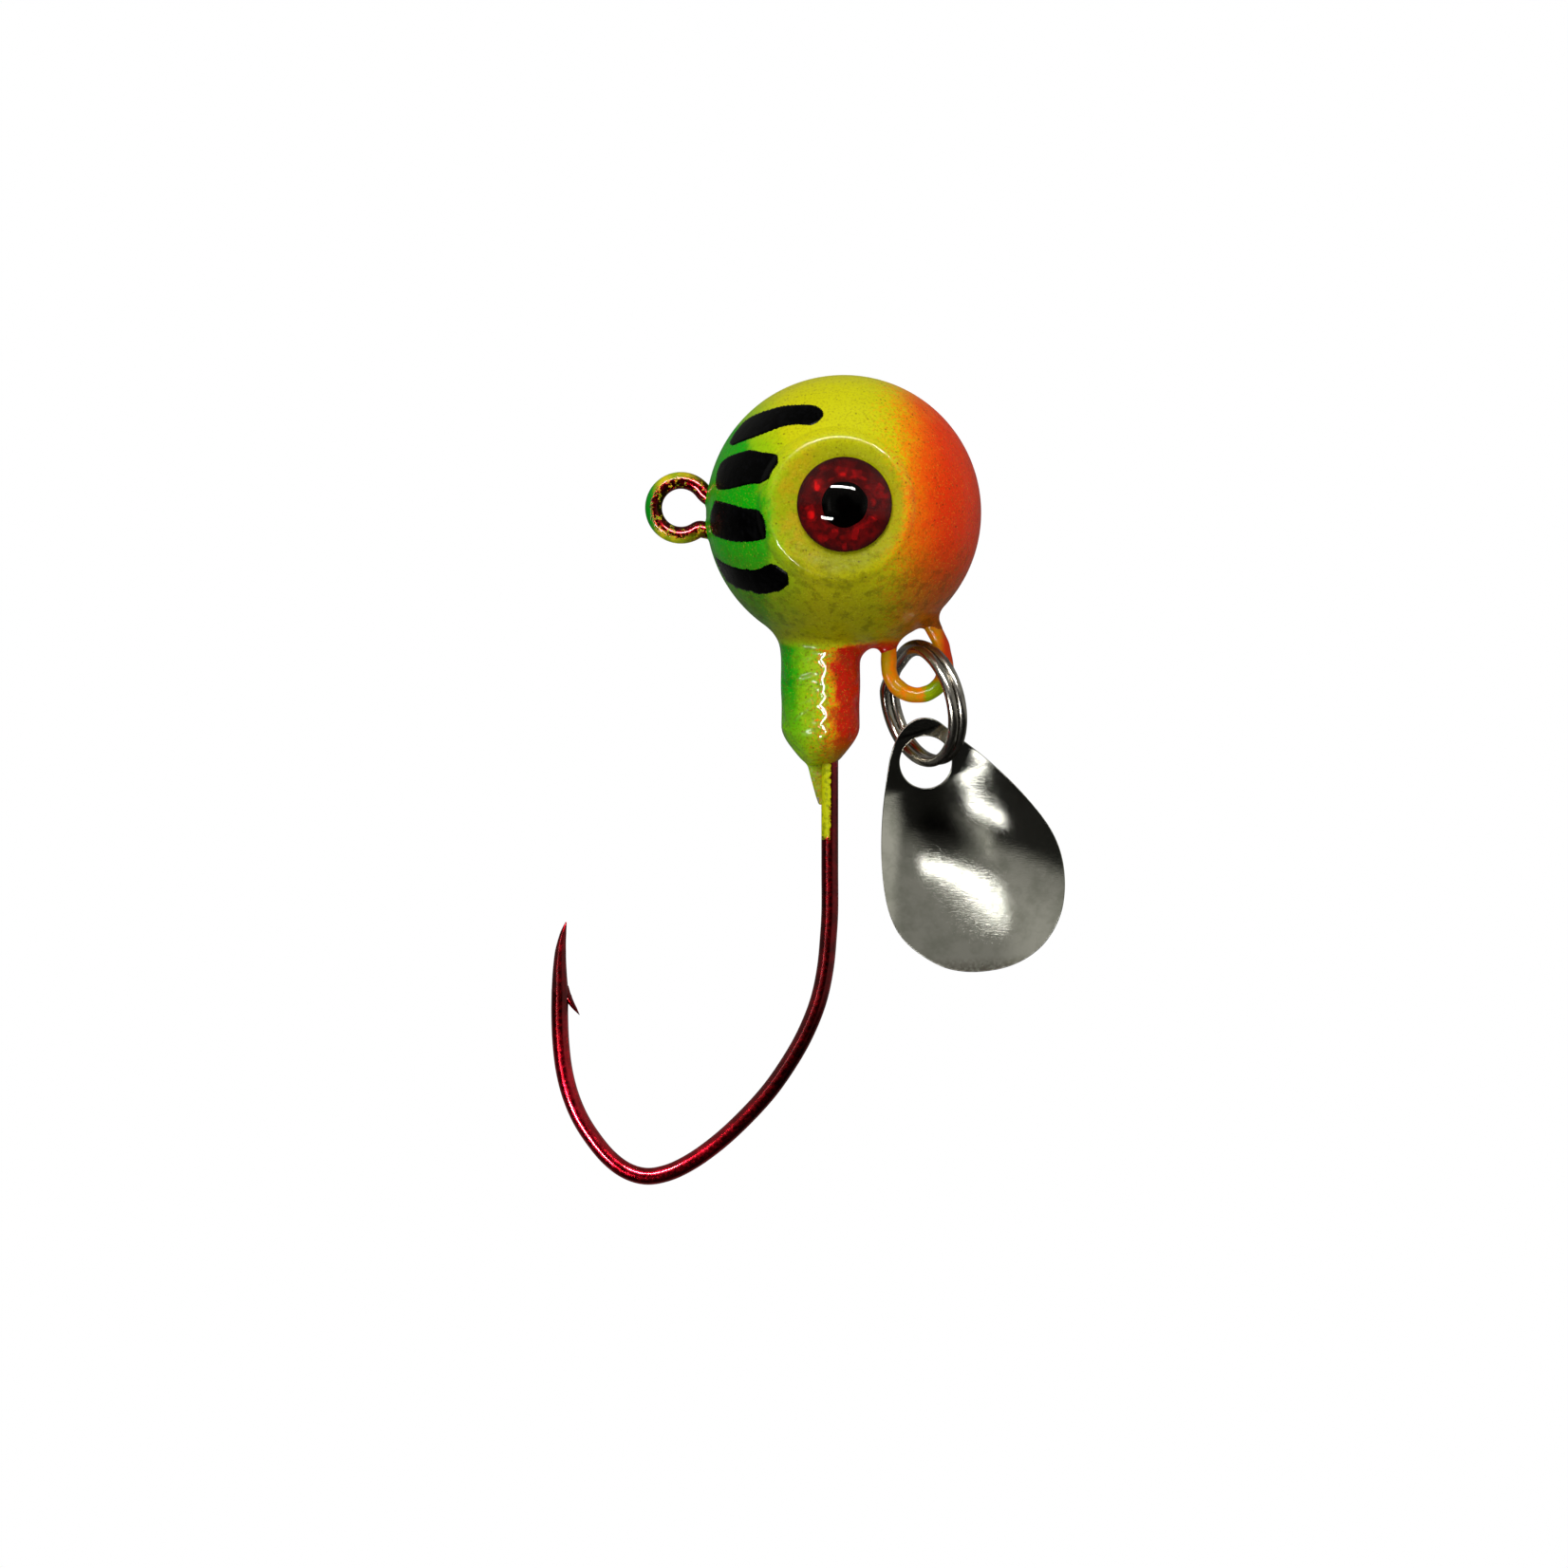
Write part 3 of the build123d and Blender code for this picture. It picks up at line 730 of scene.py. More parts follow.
# paint drawn up round the wires where they leave the ball:
# start (x, z), end (x, z), radius, blend
DRAWN_PAINT = (
    ((EYELET_LEG_X, -5.6), (EYELET_LEG_X, -7.05), 0.36, 0.75),
    ((4.15, -4.9), (4.62, -5.95), 0.40, 0.55),
    ((-6.3, 0.52), (-6.98, 0.84), 0.33, 0.34),
    ((-6.3, -0.85), (-7.05, -0.90), 0.33, 0.34),
)


def collar_radius(z):
    return np.interp(z, COLLAR_Z, COLLAR_R)


def ball_shape(x, y, z):
    ball = np.sqrt(x * x + y * y + z * z) - BALL_R
    ball = ball - SEAM_H * np.exp(-(y / SEAM_W) ** 2) * smooth_step(-ball, -0.5, -0.2)
    cut = smooth_max(ball, np.abs(y) - FLAT_Y, 0.16)
    # a soft lip round each flat
    out = np.sqrt((x - LIP_CENTRE[0]) ** 2 + (z - LIP_CENTRE[1]) ** 2) - LIP_R
    crest = np.where(out < 0, FLAT_Y + LIP_H * np.exp(-(out / 0.85) ** 2),
                     FLAT_Y + LIP_H - 0.30 * (out / 0.42) ** 2)
    return smooth_min(cut, (np.abs(y) - crest) * 0.75, 0.05)


def collar_shape(x, y, z):
    radius = np.sqrt((x - COLLAR_X) ** 2 + y * y)
    wave = 0.02 * np.sin(z * 2.1 + 0.4) * np.cos(np.arctan2(y, x - COLLAR_X) * 2 + z)
    collar = smooth_max(radius - collar_radius(z) + wave, COLLAR_END - z, 0.15)
    return np.maximum(collar, z + 3.0)      # stops inside the ball


def flash_shape(x, y, z):
    width = np.maximum(np.interp(z, FLASH_Z, FLASH_X) - x, x - FLASH_INNER_X)
    height = np.maximum(z - FLASH_TOP, FLASH_END - z)
    return np.maximum(width, np.maximum(np.abs(y) - FLASH_HALF, height))


def head(x, y, z):
    shape = smooth_min(ball_shape(x, y, z), collar_shape(x, y, z), 0.85)
    shape = smooth_min(shape, flash_shape(x, y, z), 0.18)
    for start, end, radius, blend in DRAWN_PAINT:
        shape = smooth_min(shape, capsule(x, y, z, start, end, radius), blend)
    return shape


def build_head_skin():
    verts, quads = surface_nets(head, low=(-7.9, -7.3, -15.2), high=(7.4, 7.3, 7.3),
                                cell=0.125 / FINE)
    make("head_skin", verts, quads.tolist(), PAINT, "jig", "paint_coat", "head_paint")


RUN_TOP, RUN_END, RUN_WAVE = -6.95, -11.85, 0.78    # z of the ends, wavelength


def paint_run(side):
    """A zigzag bead of paint down one side of the collar."""
    z = np.arange(RUN_TOP, RUN_END, -0.025)
    t = (z - RUN_TOP) / -RUN_WAVE
    phase = 2 * math.pi * (t + 0.16 * np.sin(t * 2.3))
    zigzag = 2 / math.pi * np.arcsin(0.97 * np.sin(phase))
    x = -1.06 + 0.20 * zigzag * (0.65 + 0.35 * np.sin(t * 1.7 + 1)) + 0.05 * np.sin(t * 5.1)
    swell = 0.088 + 0.022 * np.sin(t * 3.9 + 0.7) + 0.012 * np.sin(t * 9.1)
    ends = smooth_step(-z, 6.9, 7.3) * (1 - smooth_step(-z, 11.4, 11.9))
    radius = 0.20 + 1.1 * swell * ends
    surface = np.sqrt(collar_radius(z) ** 2 - (x - COLLAR_X) ** 2)
    y = side * (surface - radius + 0.085 * ends - 0.012)
    return tube(np.c_[x, y, z], radius, sides=20)


def build_paint_runs():
    for tag, side in CHEEKS:
        make(f"paint_run_{tag}", *paint_run(side), RUN, "jig", "paint_coat", "head_paint")


# ---------------------------------------------------------------- black bars
# (x, z) round each bar, from the top bar down
BARS = (
    ((-3.08, 5.27), (-2.31, 5.31), (-1.59, 5.28), (-1.22, 5.12), (-1.02, 4.81),
     (-1.12, 4.55), (-1.60, 4.20), (-2.31, 4.23), (-3.04, 4.15), (-3.72, 3.92),
     (-4.49, 3.64), (-5.13, 3.44), (-5.61, 3.29), (-5.79, 3.44), (-5.63, 3.81),
     (-5.30, 4.28), (-4.92, 4.66), (-4.36, 4.93), (-3.73, 5.12)),
    ((-6.48, 1.30), (-6.44, 1.82), (-6.24, 2.42), (-5.85, 2.73), (-5.29, 2.92),
     (-4.73, 3.02), (-4.14, 2.90), (-3.34, 2.71), (-3.17, 2.24), (-3.47, 1.77),
     (-3.63, 1.42), (-4.14, 1.26), (-4.73, 1.24), (-5.42, 1.10), (-6.07, 1.02),
     (-6.41, 1.11)),
    ((-6.50, 0.54), (-6.26, 0.50), (-5.54, 0.27), (-4.95, 0.09), (-4.43, 0.02),
     (-4.08, -0.11), (-3.88, -0.41), (-3.76, -0.96), (-3.84, -1.43),
     (-4.27, -1.58), (-4.91, -1.64), (-5.54, -1.60), (-6.14, -1.43),
     (-6.59, -1.20), (-6.73, -0.83), (-6.75, -0.20), (-6.62, 0.27)),
    ((-3.59, -2.70), (-3.17, -2.93), (-2.93, -3.12), (-2.75, -3.47),
     (-2.77, -3.74), (-3.09, -4.01), (-3.56, -4.17), (-4.20, -4.22),
     (-4.92, -4.04), (-5.39, -3.87), (-5.83, -3.61), (-6.11, -3.20),
     (-6.36, -2.75), (-6.55, -2.09), (-6.43, -2.29), (-5.94, -2.64),
     (-5.35, -2.87), (-4.74, -2.98), (-4.28, -2.94), (-3.84, -2.75)),
)
BAR_SUNK, BAR_LIFT, BAR_BEVEL = -0.012, 0.050, 0.11     # edge depth, rise, and its width
BAR_RAG = 0.010                                         # raggedness of the edge


def on_head(x, z, side):
    """Points of the head skin at (x, z) on one cheek, and their normals."""
    y = side * np.sqrt(np.maximum(BALL_R ** 2 - x * x - z * z, 0.05))
    points = slide(head, np.stack([x, y, z], -1), rounds=5)
    normals = gradient(head, points)
    return points, normals / np.linalg.norm(normals, axis=1)[:, None]


def ragged_outline(outline):
    line = arc_resample(outline, 0.05, closed=True)[:-1]
    k = np.arange(len(line))
    rag = np.zeros(len(line))
    for waves in (9, 17, 31):
        size = RNG.normal(0, BAR_RAG)
        rag += size * np.sin(2 * math.pi * waves * k / len(line) + RNG.uniform(0, 6.3))
    outward = line - line.mean(0)
    return line + outward / np.linalg.norm(outward, axis=1)[:, None] * rag[:, None]


def cosine_steps(count):
    """0 to 1, closer together at the ends."""
    return 0.5 - 0.5 * np.cos(np.linspace(0, math.pi, count))


def bar(outline, side):
    """A thin raised film on the cheek that sinks into it at a slightly ragged edge."""
    line = ragged_outline(outline)
    low, high = line[:, 0].min() + 1e-3, line[:, 0].max() - 1e-3
    columns, rows = int(110 * FINE), int(56 * FINE)
    xs = low + (high - low) * cosine_steps(columns)
    following = np.roll(line, -1, 0)
    spans = []      # lowest and highest z of the outline at each x
    for x in xs:
        hit = (line[:, 0] - x) * (following[:, 0] - x) <= 0
        a, b = line[hit], following[hit]
        run = b[:, 0] - a[:, 0]
        t = (x - a[:, 0]) / np.where(abs(run) < 1e-9, 1e-9, run)
        z = a[:, 1] + np.clip(t, 0, 1) * (b[:, 1] - a[:, 1])
        spans.append((z.min(), z.max()))
    spans = np.array(spans)
    x = np.repeat(xs, rows)
    z = (spans[:, :1] + (spans[:, 1:] - spans[:, :1]) * cosine_steps(rows)[None]).ravel()
    edge = np.full(len(x), 9.0)
    for px, pz in line[::2]:
        edge = np.minimum(edge, np.hypot(x - px, z - pz))
    points, normals = on_head(x, z, side)
    lift = BAR_SUNK + BAR_LIFT * smooth_step(edge, 0.0, BAR_BEVEL)
    faces = []
    for i in range(columns - 1):
        for j in range(rows - 1):
            a, b = i * rows + j, (i + 1) * rows + j
            faces.append((a, b, b + 1, a + 1)[::-side])
    return points + normals * lift[:, None], faces


def build_bars():
    for tag, side in CHEEKS:
        for number, outline in enumerate(BARS, 1):
            make(f"bar_{tag}_{number}", *bar(outline, side), INK, "jig",
                 f"mark_{tag}_{number}", "black_ink")


# ------------------------------------------------------------------ the 3D eyes
EYE_R, PUPIL_R, DOME_H = 2.38, 1.15, 1.10
DOME_R = (EYE_R ** 2 + DOME_H ** 2) / (2 * DOME_H)      # sphere through rim and top
FOAM_T, FOIL_T = 0.25, 0.06
FOIL_FACE_R = 2.34

# (radius, height above the layer's base)
FOAM_PROFILE = [(2.18, 0.0), (2.24, 0.03), (2.27, 0.08), (2.28, 0.14), (2.27, 0.20),
                (2.24, 0.235), (2.18, FOAM_T)]
FOIL_PROFILE = [(FOIL_FACE_R, 0.0), (2.375, 0.012), (EYE_R, 0.03), (2.365, 0.05)] + [
    (r, 0.055 + 0.004 * math.sin(r * 9.0)) for r in np.linspace(FOIL_FACE_R, 0.02, 40)]
PUPIL_PROFILE = [(PUPIL_R - 0.01, 0.0), (PUPIL_R, 0.012), (PUPIL_R - 0.01, 0.03),
                 (PUPIL_R - 0.04, 0.042), (PUPIL_R - 0.12, 0.048), (0.4, 0.05), (0.02, 0.05)]
DOME_PROFILE = [(EYE_R - 0.05, 0.002), (EYE_R - 0.015, 0.01), (EYE_R, 0.04), (EYE_R, 0.10)] + [
    (DOME_R * math.sin(a), 0.12 + DOME_H - DOME_R + DOME_R * math.cos(a))
    for a in np.linspace(math.asin((EYE_R - 0.012) / DOME_R), 0.004, 60)]


def eye_layer(profile, base, side, sides):
    """Turns a profile about the eye's Y axis, growing outwards from |y| = base."""
    a = np.linspace(0, 2 * math.pi, sides, endpoint=False)
    verts = [np.c_[r * np.cos(a), np.full(sides, side * (base + h)), EYE_Z + r * np.sin(a)]
             for r, h in profile]
    verts += [(0, side * (base + profile[end][1]), EYE_Z) for end in (0, -1)]
    return np.vstack(verts), [face[::-side] for face in ring_faces(len(profile), sides)]


def build_eye(tag, side):
    foil_y = FLAT_Y + FOAM_T
    top_y = foil_y + FOIL_T
    make(f"foam_{tag}", *eye_layer(FOAM_PROFILE, FLAT_Y, side, 128), FOAM, "jig",
         f"eye_adhesive_{tag}", "eye_foam")
    make(f"foil_{tag}", *eye_layer(FOIL_PROFILE, foil_y, side, 192), FOIL, "jig",
         f"iris_foil_{tag}", "red_foil")
    verts, faces = eye_layer(PUPIL_PROFILE, top_y, side, 160)
    angle = np.arctan2(verts[:, 2] - EYE_Z, verts[:, 0])
    wobble = 1 + 0.018 * np.sin(3 * angle + 1.0) + 0.010 * np.sin(7 * angle)
    verts[:, 0] *= wobble
    verts[:, 2] = EYE_Z + (verts[:, 2] - EYE_Z) * wobble
    make(f"pupil_disc_{tag}", verts, faces, PUPIL, "jig", f"pupil_{tag}", "pupil_black")
    make(f"dome_{tag}", *eye_layer(DOME_PROFILE, top_y, side, 192), DOME, "jig",
         f"eye_dome_{tag}", "clear_dome")


# -------------------------------------------------------------------- the hook
HOOK_R, LINE_EYE_R = 0.43, 1.39
# (x, z) into the line eye, from it to the shank, then down the shank and round to the point
HOOK_START = ((-5.30, -0.62), (-6.10, -0.84), (-6.75, -0.93))
HOOK_NECK = ((-6.62, 0.64), (-5.95, 0.40), (-5.30, 0.30), (-4.2, 0.15), (-3.0, -0.05),
             (-2.0, -0.35), (-1.2, -1.0), (-0.80, -2.0))
HOOK_BEND = (
    (-0.70, -3.2), (-0.70, -6.0), (-0.70, -10.0), (-0.70, -14.0), (-0.70, -18.0),
    (-0.70, -20.20), (-0.76, -21.32), (-0.93, -23.10), (-1.30, -24.80), (-1.98, -26.48),
    (-2.77, -27.87), (-3.80, -29.33), (-5.15, -30.80), (-6.42, -31.95), (-7.73, -32.88),
    (-8.90, -33.44), (-9.98, -33.62), (-10.95, -33.36), (-11.86, -32.70), (-12.70, -31.70),
    (-13.35, -30.67), (-13.84, -29.50), (-14.16, -28.22), (-14.33, -26.75), (-14.38, -25.40),
    (-14.37, -24.28), (-14.38, -23.20), (-14.335, -22.20), (-14.20, -21.30), (-14.06, -20.75))
# (z, radius) up to the point
POINT_Z, POINT_R = np.array((
    (-24.6, HOOK_R), (-24.28, HOOK_R), (-23.20, 0.355), (-22.20, 0.280), (-21.30, 0.160),
    (-20.95, 0.085), (-20.75, 0.030))).T
BARB = ((-14.12, -24.05), (-13.98, -24.50), (-13.72, -24.93), (-13.50, -25.22), (-13.33, -25.44))
# (share of length, radius)
BARB_AT, BARB_R = np.array(((0, 0.20), (0.35, 0.20), (0.75, 0.11), (1, 0.015))).T


def barb():
    """A slim barb lifted from the wire, its lower part drawn in towards it."""
    line = arc_resample(xz(BARB), 0.03)
    radius = np.interp(np.linspace(0, 1, len(line)), BARB_AT, BARB_R)
    verts, faces = tube(line, radius, sides=28)
    lifted = verts[:, 2] < -24.5
    verts[:, 0] -= 0.10 * np.where(lifted, np.maximum(0, verts[:, 0] + 13.85), 0)
    return verts, faces


def build_hook():
    line_eye = arc_xz(LINE_EYE, LINE_EYE_R, start=310, end=32, count=120)
    wire = np.vstack([xz(HOOK_START), line_eye, xz(HOOK_NECK), xz(HOOK_BEND)])
    path = smooth_line(arc_resample(wire, 0.055 / FINE), rounds=6)
    x, _, z = path.T
    at_point = (x < -13.5) & (z > POINT_Z[0])
    radius = np.where(at_point, np.interp(z, POINT_Z, POINT_R), HOOK_R)
    verts, faces = tube(path, radius, sides=48)
    barb_verts, barb_faces = barb()
    faces += [tuple(i + len(verts) for i in face) for face in barb_faces]
    make("hook_wire", np.vstack([verts, barb_verts]), faces, RED, "jig", "hook",
         "red_lacquered_wire")


# ------------------------------------------------------- eyelet and split ring
# (x, z) of the legs on each side of the loop
EYELET_IN = ((1.62, -3.30), (2.20, -4.10), (EYELET_LEG_X, -5.20), (EYELET_LEG_X, -6.4))
EYELET_OUT = ((4.98, -6.80), (4.58, -5.95), (4.10, -5.20), (3.40, -4.20))


def build_eyelet():
    loop = arc_xz(EYELET, EYELET_R, start=180, end=360, count=60)
    wire = np.vstack([xz(EYELET_IN), loop, xz(EYELET_OUT)])
    path = smooth_line(arc_resample(wire, 0.04 / FINE), rounds=10)
    k = np.arange(len(path)) / len(path)
    # paint of slightly uneven thickness
    radius = (0.405 + 0.012 * np.sin(k * 31) + 0.010 * np.sin(k * 57 + 1)
              + 0.006 * np.sin(k * 113 + 2))
    make("eyelet_wire", *tube(path, radius, sides=48), WIRE, "jig", "spinner_eyelet",
         "painted_wire")


RING_CENTRE = np.array((4.04, 0.66, -9.66))
RING_U = np.array((0.5130, -0.8483, 0.1310))        # two directions in the ring's plane
RING_V = np.array((-0.25, 0, 0.9682))
RING_AXIS = np.array((-0.8213, -0.5294, -0.2121))
RING_R, RING_WIRE_R = 2.985, 0.262
RING_TUCK = 0.66        # how far the first end is drawn in
RING_OFFSET = 0.275     # half the distance between the two coils
RING_START, RING_TURN = 130.0, 690.01               # degrees


def build_ring():
    turned = np.arange(0, RING_TURN, 1.0 / FINE)
    a = np.radians(RING_START - turned)[:, None]
    jog = smooth_step(turned, 330, 360)
    radius = RING_R - RING_TUCK * (1 - smooth_step(turned, 18, 78))
    path = (RING_CENTRE + radius[:, None] * (np.cos(a) * RING_U + np.sin(a) * RING_V)
            + (RING_OFFSET * (1 - 2 * jog))[:, None] * RING_AXIS)
    make("ring_wire", *tube(path, RING_WIRE_R, sides=36), RING, "ring", "split_ring",
         "nickel_wire")


# ------------------------------------------------------------------------ blade
# (x, z) round the edge
BLADE_OUTLINE = (
    (4.25, -10.38), (3.72, -10.44), (3.28, -10.70), (2.80, -11.25), (2.42, -12.20),
    (2.20, -13.46), (1.98, -15.38), (1.93, -17.31), (2.05, -19.00), (2.33, -20.35),
    (2.80, -21.35), (3.37, -22.00), (4.24, -22.63), (5.21, -23.10), (6.27, -23.28),
    (7.33, -23.23), (8.37, -23.00), (9.32, -22.55), (10.12, -21.89), (10.72, -21.03),
    (11.08, -20.12), (11.22, -19.14), (11.20, -18.20), (11.04, -17.30), (10.73, -16.45),
    (10.28, -15.67), (9.73, -14.95), (9.10, -14.22), (8.35, -13.44), (7.39, -12.56),
    (6.62, -11.93), (5.92, -11.40), (5.28, -10.90), (4.75, -10.52),
)
HOLE, HOLE_R = np.array((4.19, -12.64)), 1.325
BLADE_T, BLADE_Y, BLADE_EDGE = 0.40, 1.10, 0.06     # thickness, -Y face at the lug, rounding
LUG, TOE = np.array((3.90, -10.40)), np.array((7.75, -23.10))
BLADE_AXIS = (TOE - LUG) / np.linalg.norm(TOE - LUG)

# how far the pressed sheet lies behind the lug (+Y): row i, column j multiplies u^i w^j
PRESS = (
    (1.3735, 0.3847, -2.4579, -0.5502, 1.6057, 1.1848),
    (-0.4022, -0.5369, 0.0304, -0.6444, -0.6987),
    (-1.3253, -0.5329, -0.1143, 0.4492),
    (-0.3183, -0.2951, -0.4006),
    (-0.5116, -0.0183),
    (0.5809,),
)


def dish(x, z):
    along = (x - LUG[0]) * BLADE_AXIS[0] + (z - LUG[1]) * BLADE_AXIS[1]
    u, w = (x - 5.8) / 5, (z + 16.8) / 6
    depth = sum(k * u ** i * w ** j for i, row in enumerate(PRESS) for j, k in enumerate(row))
    return smooth_step(along, 0.6, 3.4) * depth


def build_blade():
    """Closed loops round the hole: out over the -Y face, round the edge, and back."""
    around, across = int(720 * FINE), int(90 * FINE)
    line = arc_resample(BLADE_OUTLINE, 0.01, closed=True) - HOLE
    theta = np.linspace(-math.pi, math.pi, around, endpoint=False)
    reach = np.interp(theta, np.arctan2(line[:, 1], line[:, 0]),
                      np.hypot(line[:, 0], line[:, 1]), period=2 * math.pi)
    reach = np.convolve(np.r_[reach[-3:], reach, reach[:3]], np.ones(7) / 7, "valid")
    outer, inner = reach - BLADE_EDGE, HOLE_R + BLADE_EDGE
    bevel = [(BLADE_EDGE * math.sin(b), BLADE_EDGE * (1 - math.cos(b)))
             for b in np.linspace(0, math.pi / 2, 7)]
    loops = [(inner + (outer - inner) * k, 0.0) for k in np.linspace(0, 1, across)]
    loops += [(outer + run, rise) for run, rise in bevel[1:]]
    loops += [(outer + run, BLADE_T - rise) for run, rise in bevel[::-1]]
    loops += [(inner + (outer - inner) * k, BLADE_T) for k in np.linspace(1, 0, across)]
    loops += [(inner - run, BLADE_T - rise) for run, rise in bevel[1:]]
    loops += [(inner - run, rise) for run, rise in bevel[::-1][:-1]]
    verts = []
    for radius, height in loops:
        x = HOLE[0] + radius * np.cos(theta)
        z = HOLE[1] + radius * np.sin(theta)
        verts.append(np.c_[x, BLADE_Y + dish(x, z) + height, z])
    i, j = np.meshgrid(np.arange(len(loops)), np.arange(around), indexing="ij")
    row, next_row = i * around, (i + 1) % len(loops) * around
    next_j = (j + 1) % around
    faces = np.stack([row + j, row + next_j, next_row + next_j, next_row + j], -1)
    return make("blade_sheet", np.vstack(verts), faces.reshape(-1, 4).tolist(), BLADE, "blade",
                "spinner_blade", "nickel_blade")


# ------------------------------------------------------------- floor and light
FLOOR_Z, FLOOR_HALF = -34.20, 1.5       # mm from the ball's centre; metres


def build_floor():
    """Lights like a pale matt floor, and shows pure white to the camera."""
    m = Material("floor")
    cloud = m.noise(m.mm(), scale=0.05, detail=2, rough=0.5)
    matt = m.principled(Base_Color=m.mix((0.80, 0.80, 0.79), (0.84, 0.84, 0.83), cloud),
                        Roughness=0.9)
    white = m.shader("Emission", Color=(1, 1, 1, 1))
    camera_ray = m.node("ShaderNodeLightPath").outputs["Is Camera Ray"]
    m.done(m.mix_shader(camera_ray, matt, white))
    z = (FLOOR_Z + HOME[2]) / MM
    corners = ((-1, -1), (1, -1), (1, 1), (-1, 1))
    mesh = bpy.data.meshes.new("floor")
    mesh.from_pydata([(FLOOR_HALF * x, FLOOR_HALF * y, z) for x, y in corners], [],
                     [(0, 1, 2, 3)])
    mesh.materials.append(m.material)
    floor = bpy.data.objects.new("floor", mesh)
    bpy.context.scene.collection.objects.link(floor)
    floor.visible_glossy = False
    floor.visible_shadow = False
    floor.visible_transmission = False
    return floor


def build_world():
    """A grey tent in reflections, an even dim light on matt paint, white to the camera."""
    world = bpy.data.worlds.new("studio")
    bpy.context.scene.world = world
    world.use_nodes = True
    g = Graph(world.node_tree)
    x, y, z = g.xyz(g.node("ShaderNodeTexCoord").outputs["Generated"])
    # light overhead, brighter towards -X, and dark below
    up = g.add(g.ramp(z, over=(-0.03, 0.09), to=(0.008, 0.115)),
               g.ramp(z, over=(0.10, 0.55), to=(0.0, 0.07)))
    up = g.mul(up, g.ramp(x, over=(-0.30, -0.68), to=(1.0, 1.65)))
    # a bright +X side, a panel and a narrow slit at -X, and light from behind (+Y)
    right = g.mul(g.ramp(x, over=(0.42, 0.72)), g.ramp(z, over=(-0.45, -0.05)), 0.36)
    panel = g.mul(g.mul(g.ramp(x, over=(-0.10, -0.22)), g.ramp(x, over=(-0.66, -0.50))),
                  g.mul(g.ramp(z, over=(-0.40, -0.22)), 0.15))
    back = g.mul(g.ramp(y, over=(-0.1, 0.5)), 0.15)
    # a dark patch round the lens
    lens = g.ramp(y, over=(-0.93, -0.978), to=(1.0, 0.12))
    from_slit = g.math("ABSOLUTE", g.sub(x, -0.47))
    slit = g.mul(g.ramp(from_slit, over=(0.09, 0.02)),
                 g.mul(g.ramp(z, over=(-0.34, -0.12)), g.ramp(z, over=(0.36, 0.10))))
    slit = g.mul(slit, 0.42)
    level = g.mul(g.max(g.max(up, right), g.max(panel, g.max(back, slit))), lens)
    warm = g.node("ShaderNodeCombineColor",
                  {"Red": level, "Green": level, "Blue": g.mul(level, 0.93)}).outputs[0]

    def background(**inputs):
        return g.node("ShaderNodeBackground", inputs).outputs[0]

    tent = background(Color=warm)
    even = background(Color=(1, 1, 1), Strength=0.14)
    white = background(Color=(1, 1, 1))
    path = g.node("ShaderNodeLightPath").outputs
    seen = g.mix_shader(path["Is Diffuse Ray"], tent, even)
    seen = g.mix_shader(g.max(path["Is Camera Ray"], 0.0), seen, white)
    g.node("ShaderNodeOutputWorld", {0: seen})


def softbox(name, centre, size, watts, glossy, roll=0.0, receivers=None):
    """A lamp aimed at the ball, for reflections only or for diffuse light only."""
    light = bpy.data.lights.new(name, "AREA")
    light.shape = "RECTANGLE"
    light.size, light.size_y = size[0] / MM, size[1] / MM
    light.energy = watts
    ob = bpy.data.objects.new(name, light)
    ob.location = (np.array(centre, float) + HOME) / MM
    aim = Vector(HOME / MM) - Vector((np.array(centre, float) + HOME) / MM)
    turn = aim.to_track_quat("-Z", "Y").to_matrix().to_4x4()
    ob.rotation_euler = (turn @ Matrix.Rotation(math.radians(roll), 4, "Z")).to_euler()
    ob.visible_camera = False
    bpy.context.scene.collection.objects.link(ob)
    ob.visible_diffuse = not glossy
    ob.visible_glossy = glossy
    ob.visible_transmission = glossy
    if receivers:
        ob.light_linking.receiver_collection = receivers


def receiver_group(name, objects):
    group = bpy.data.collections.new(name)
    for ob in objects:
        group.objects.link(ob)
    return group


# name, centre, size, roll, watts, then watts and centre of the blade's own lamp
STRIPS = (
    ("strip_top", (-10, -254, 162), (240, 22), -8, 1.85, 0.060, (-34, -271, 128)),
    ("strip_low", (-153, -227, -122), (120, 24), -14, 0.95, 0.034, (-153, -227, -122)),
)
SHEET_SPREAD = 1.4      # the blade's lamps are taller by this, and stronger to match


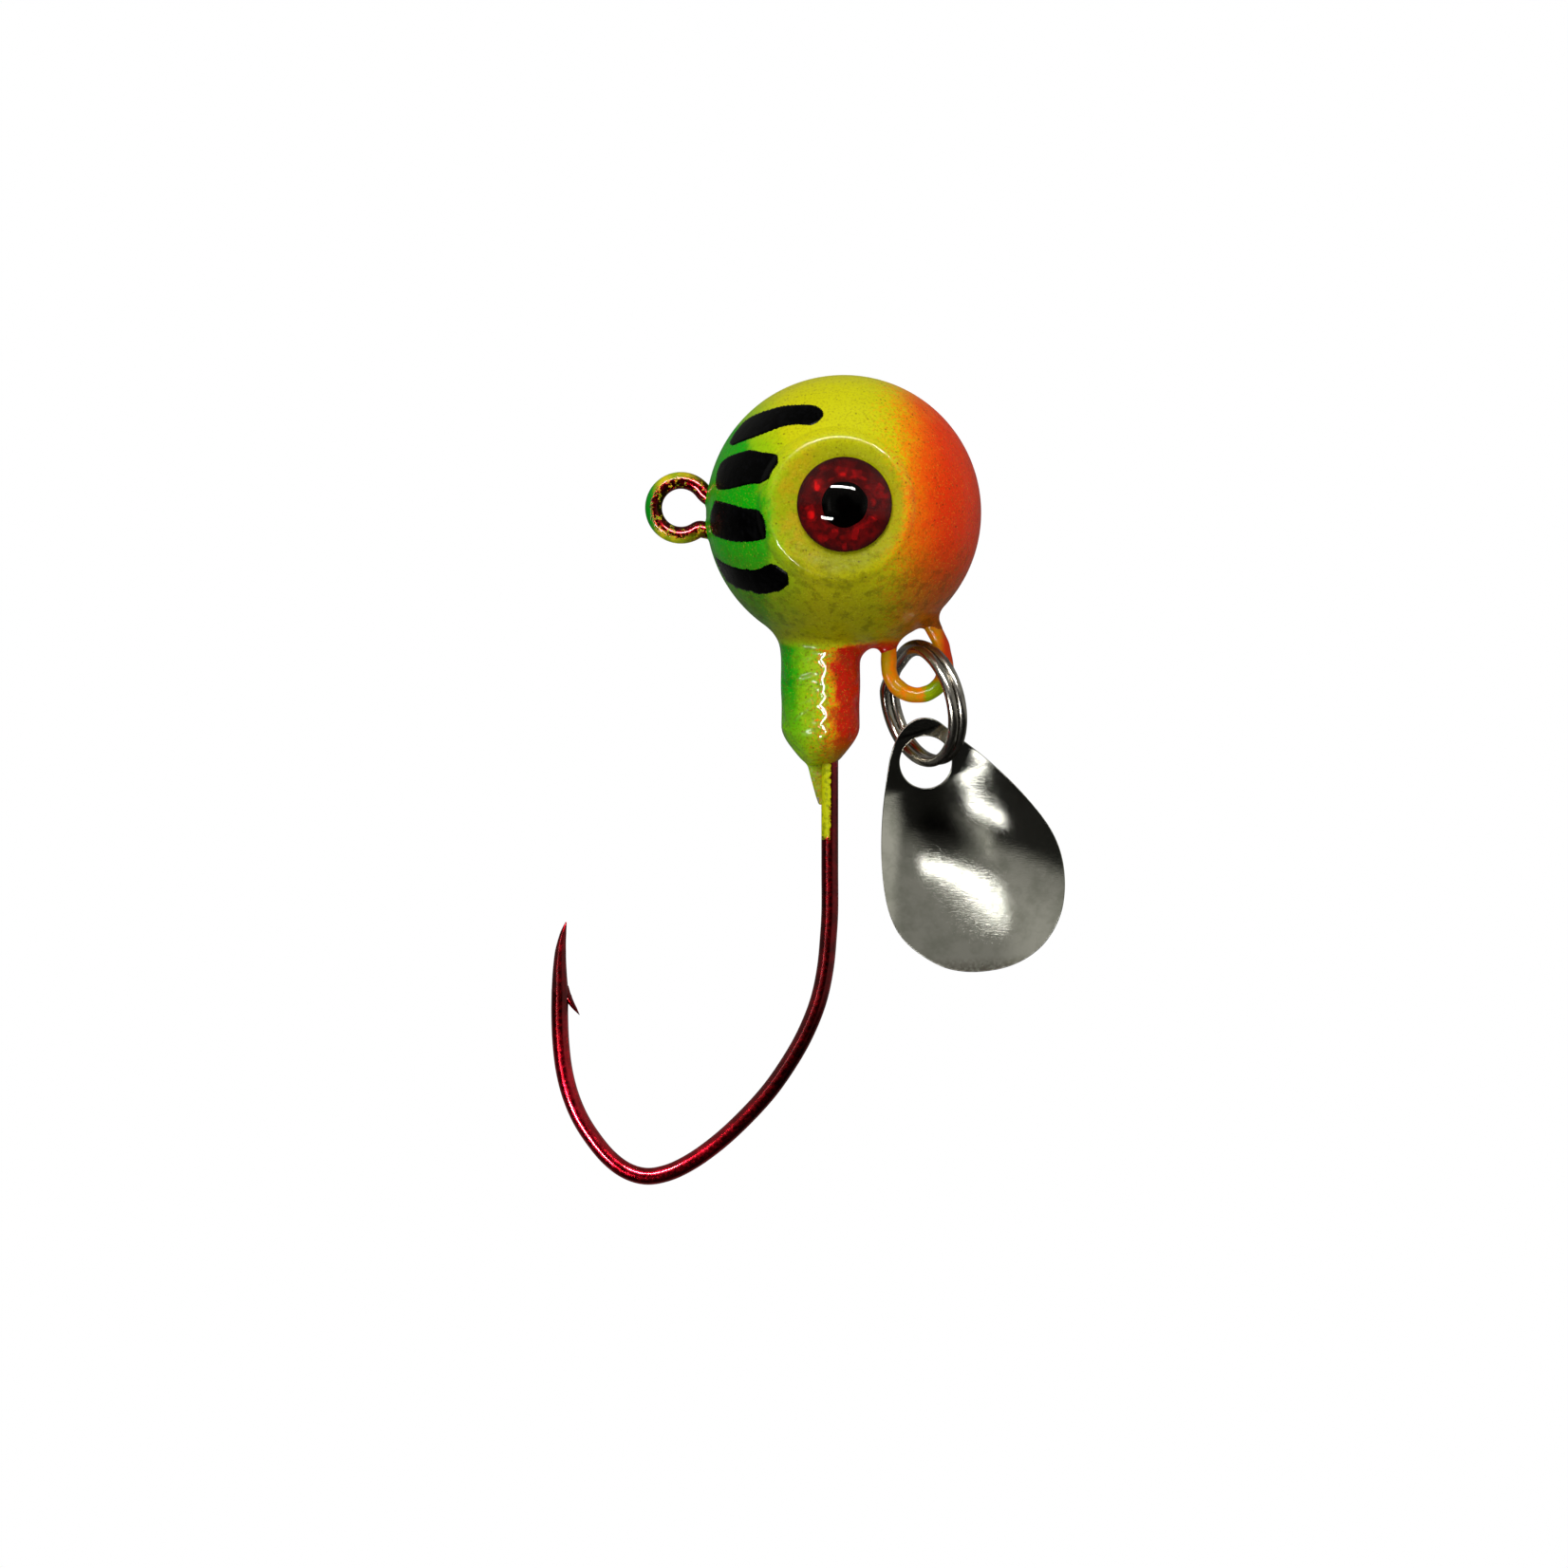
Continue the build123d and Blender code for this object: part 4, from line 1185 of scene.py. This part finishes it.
def build_lights(sheet, floor):
    objects = bpy.data.objects
    sheet_only = receiver_group("sheet_light", [sheet])
    others = receiver_group("wire_and_paint_light", [
        ob for ob in bpy.context.scene.objects
        if ob.type == "MESH" and ob is not sheet and ob is not floor
        and ob.name not in (sheet.name, floor.name)])
    for name, centre, size, roll, watts, sheet_watts, sheet_centre in STRIPS:
        softbox(name, centre, size, watts, glossy=True, roll=roll, receivers=others)
        softbox(name + "_sheet", sheet_centre, (size[0], size[1] * SHEET_SPREAD),
                sheet_watts * SHEET_SPREAD, glossy=True, roll=roll, receivers=sheet_only)
    runs = receiver_group("run_light", [objects[f"paint_run_{tag}"] for tag, _ in CHEEKS])
    hook = receiver_group("hook_light", [objects["hook_wire"]])
    softbox("tall_strip_run", centre=(62, -294, 0), size=(96, 300), watts=4.2, glossy=True,
            receivers=runs)
    softbox("tall_strip_wire", centre=(-205, -215, -14), size=(14, 300), watts=0.085,
            glossy=True, receivers=hook)
    softbox("key_soft", centre=(-50, -360, 230), size=(260, 260), watts=1.25, glossy=False)
    softbox("top_soft", centre=(30, -60, 380), size=(340, 340), watts=0.45, glossy=False)


# ---------------------------------------------------------------------- camera
LENS, SENSOR = 200, 36
VIEW_WIDTH, VIEW_X, VIEW_Z = 79.42, -3.02, -13.75   # what the frame spans at y = 0


def build_camera():
    camera = bpy.data.cameras.new("camera")
    camera.lens = LENS
    camera.sensor_width = SENSOR
    camera.clip_start, camera.clip_end = 0.01, 10
    ob = bpy.data.objects.new("camera", camera)
    ob.location = (np.array((VIEW_X, -VIEW_WIDTH * LENS / SENSOR, VIEW_Z)) + HOME) / MM
    ob.rotation_euler = (math.radians(90), 0, 0)
    scene = bpy.context.scene
    scene.collection.objects.link(ob)
    scene.camera = ob
    scene.view_settings.view_transform = "Standard"
    scene.view_settings.look = "None"


# ----------------------------------------------------------------------- build
# the casting is out of sight under the paint, and keeps its CAD mesh
lead = frame["nodes"]["lead_head"]
lead.data.materials.clear()
lead.data.materials.append(LEAD)

build_head_skin()
build_paint_runs()
build_bars()
for tag, side in CHEEKS:
    build_eye(tag, side)
build_hook()
build_eyelet()
build_ring()
blade_sheet = build_blade()
stage_floor = build_floor()
build_world()
build_lights(blade_sheet, stage_floor)
build_camera()
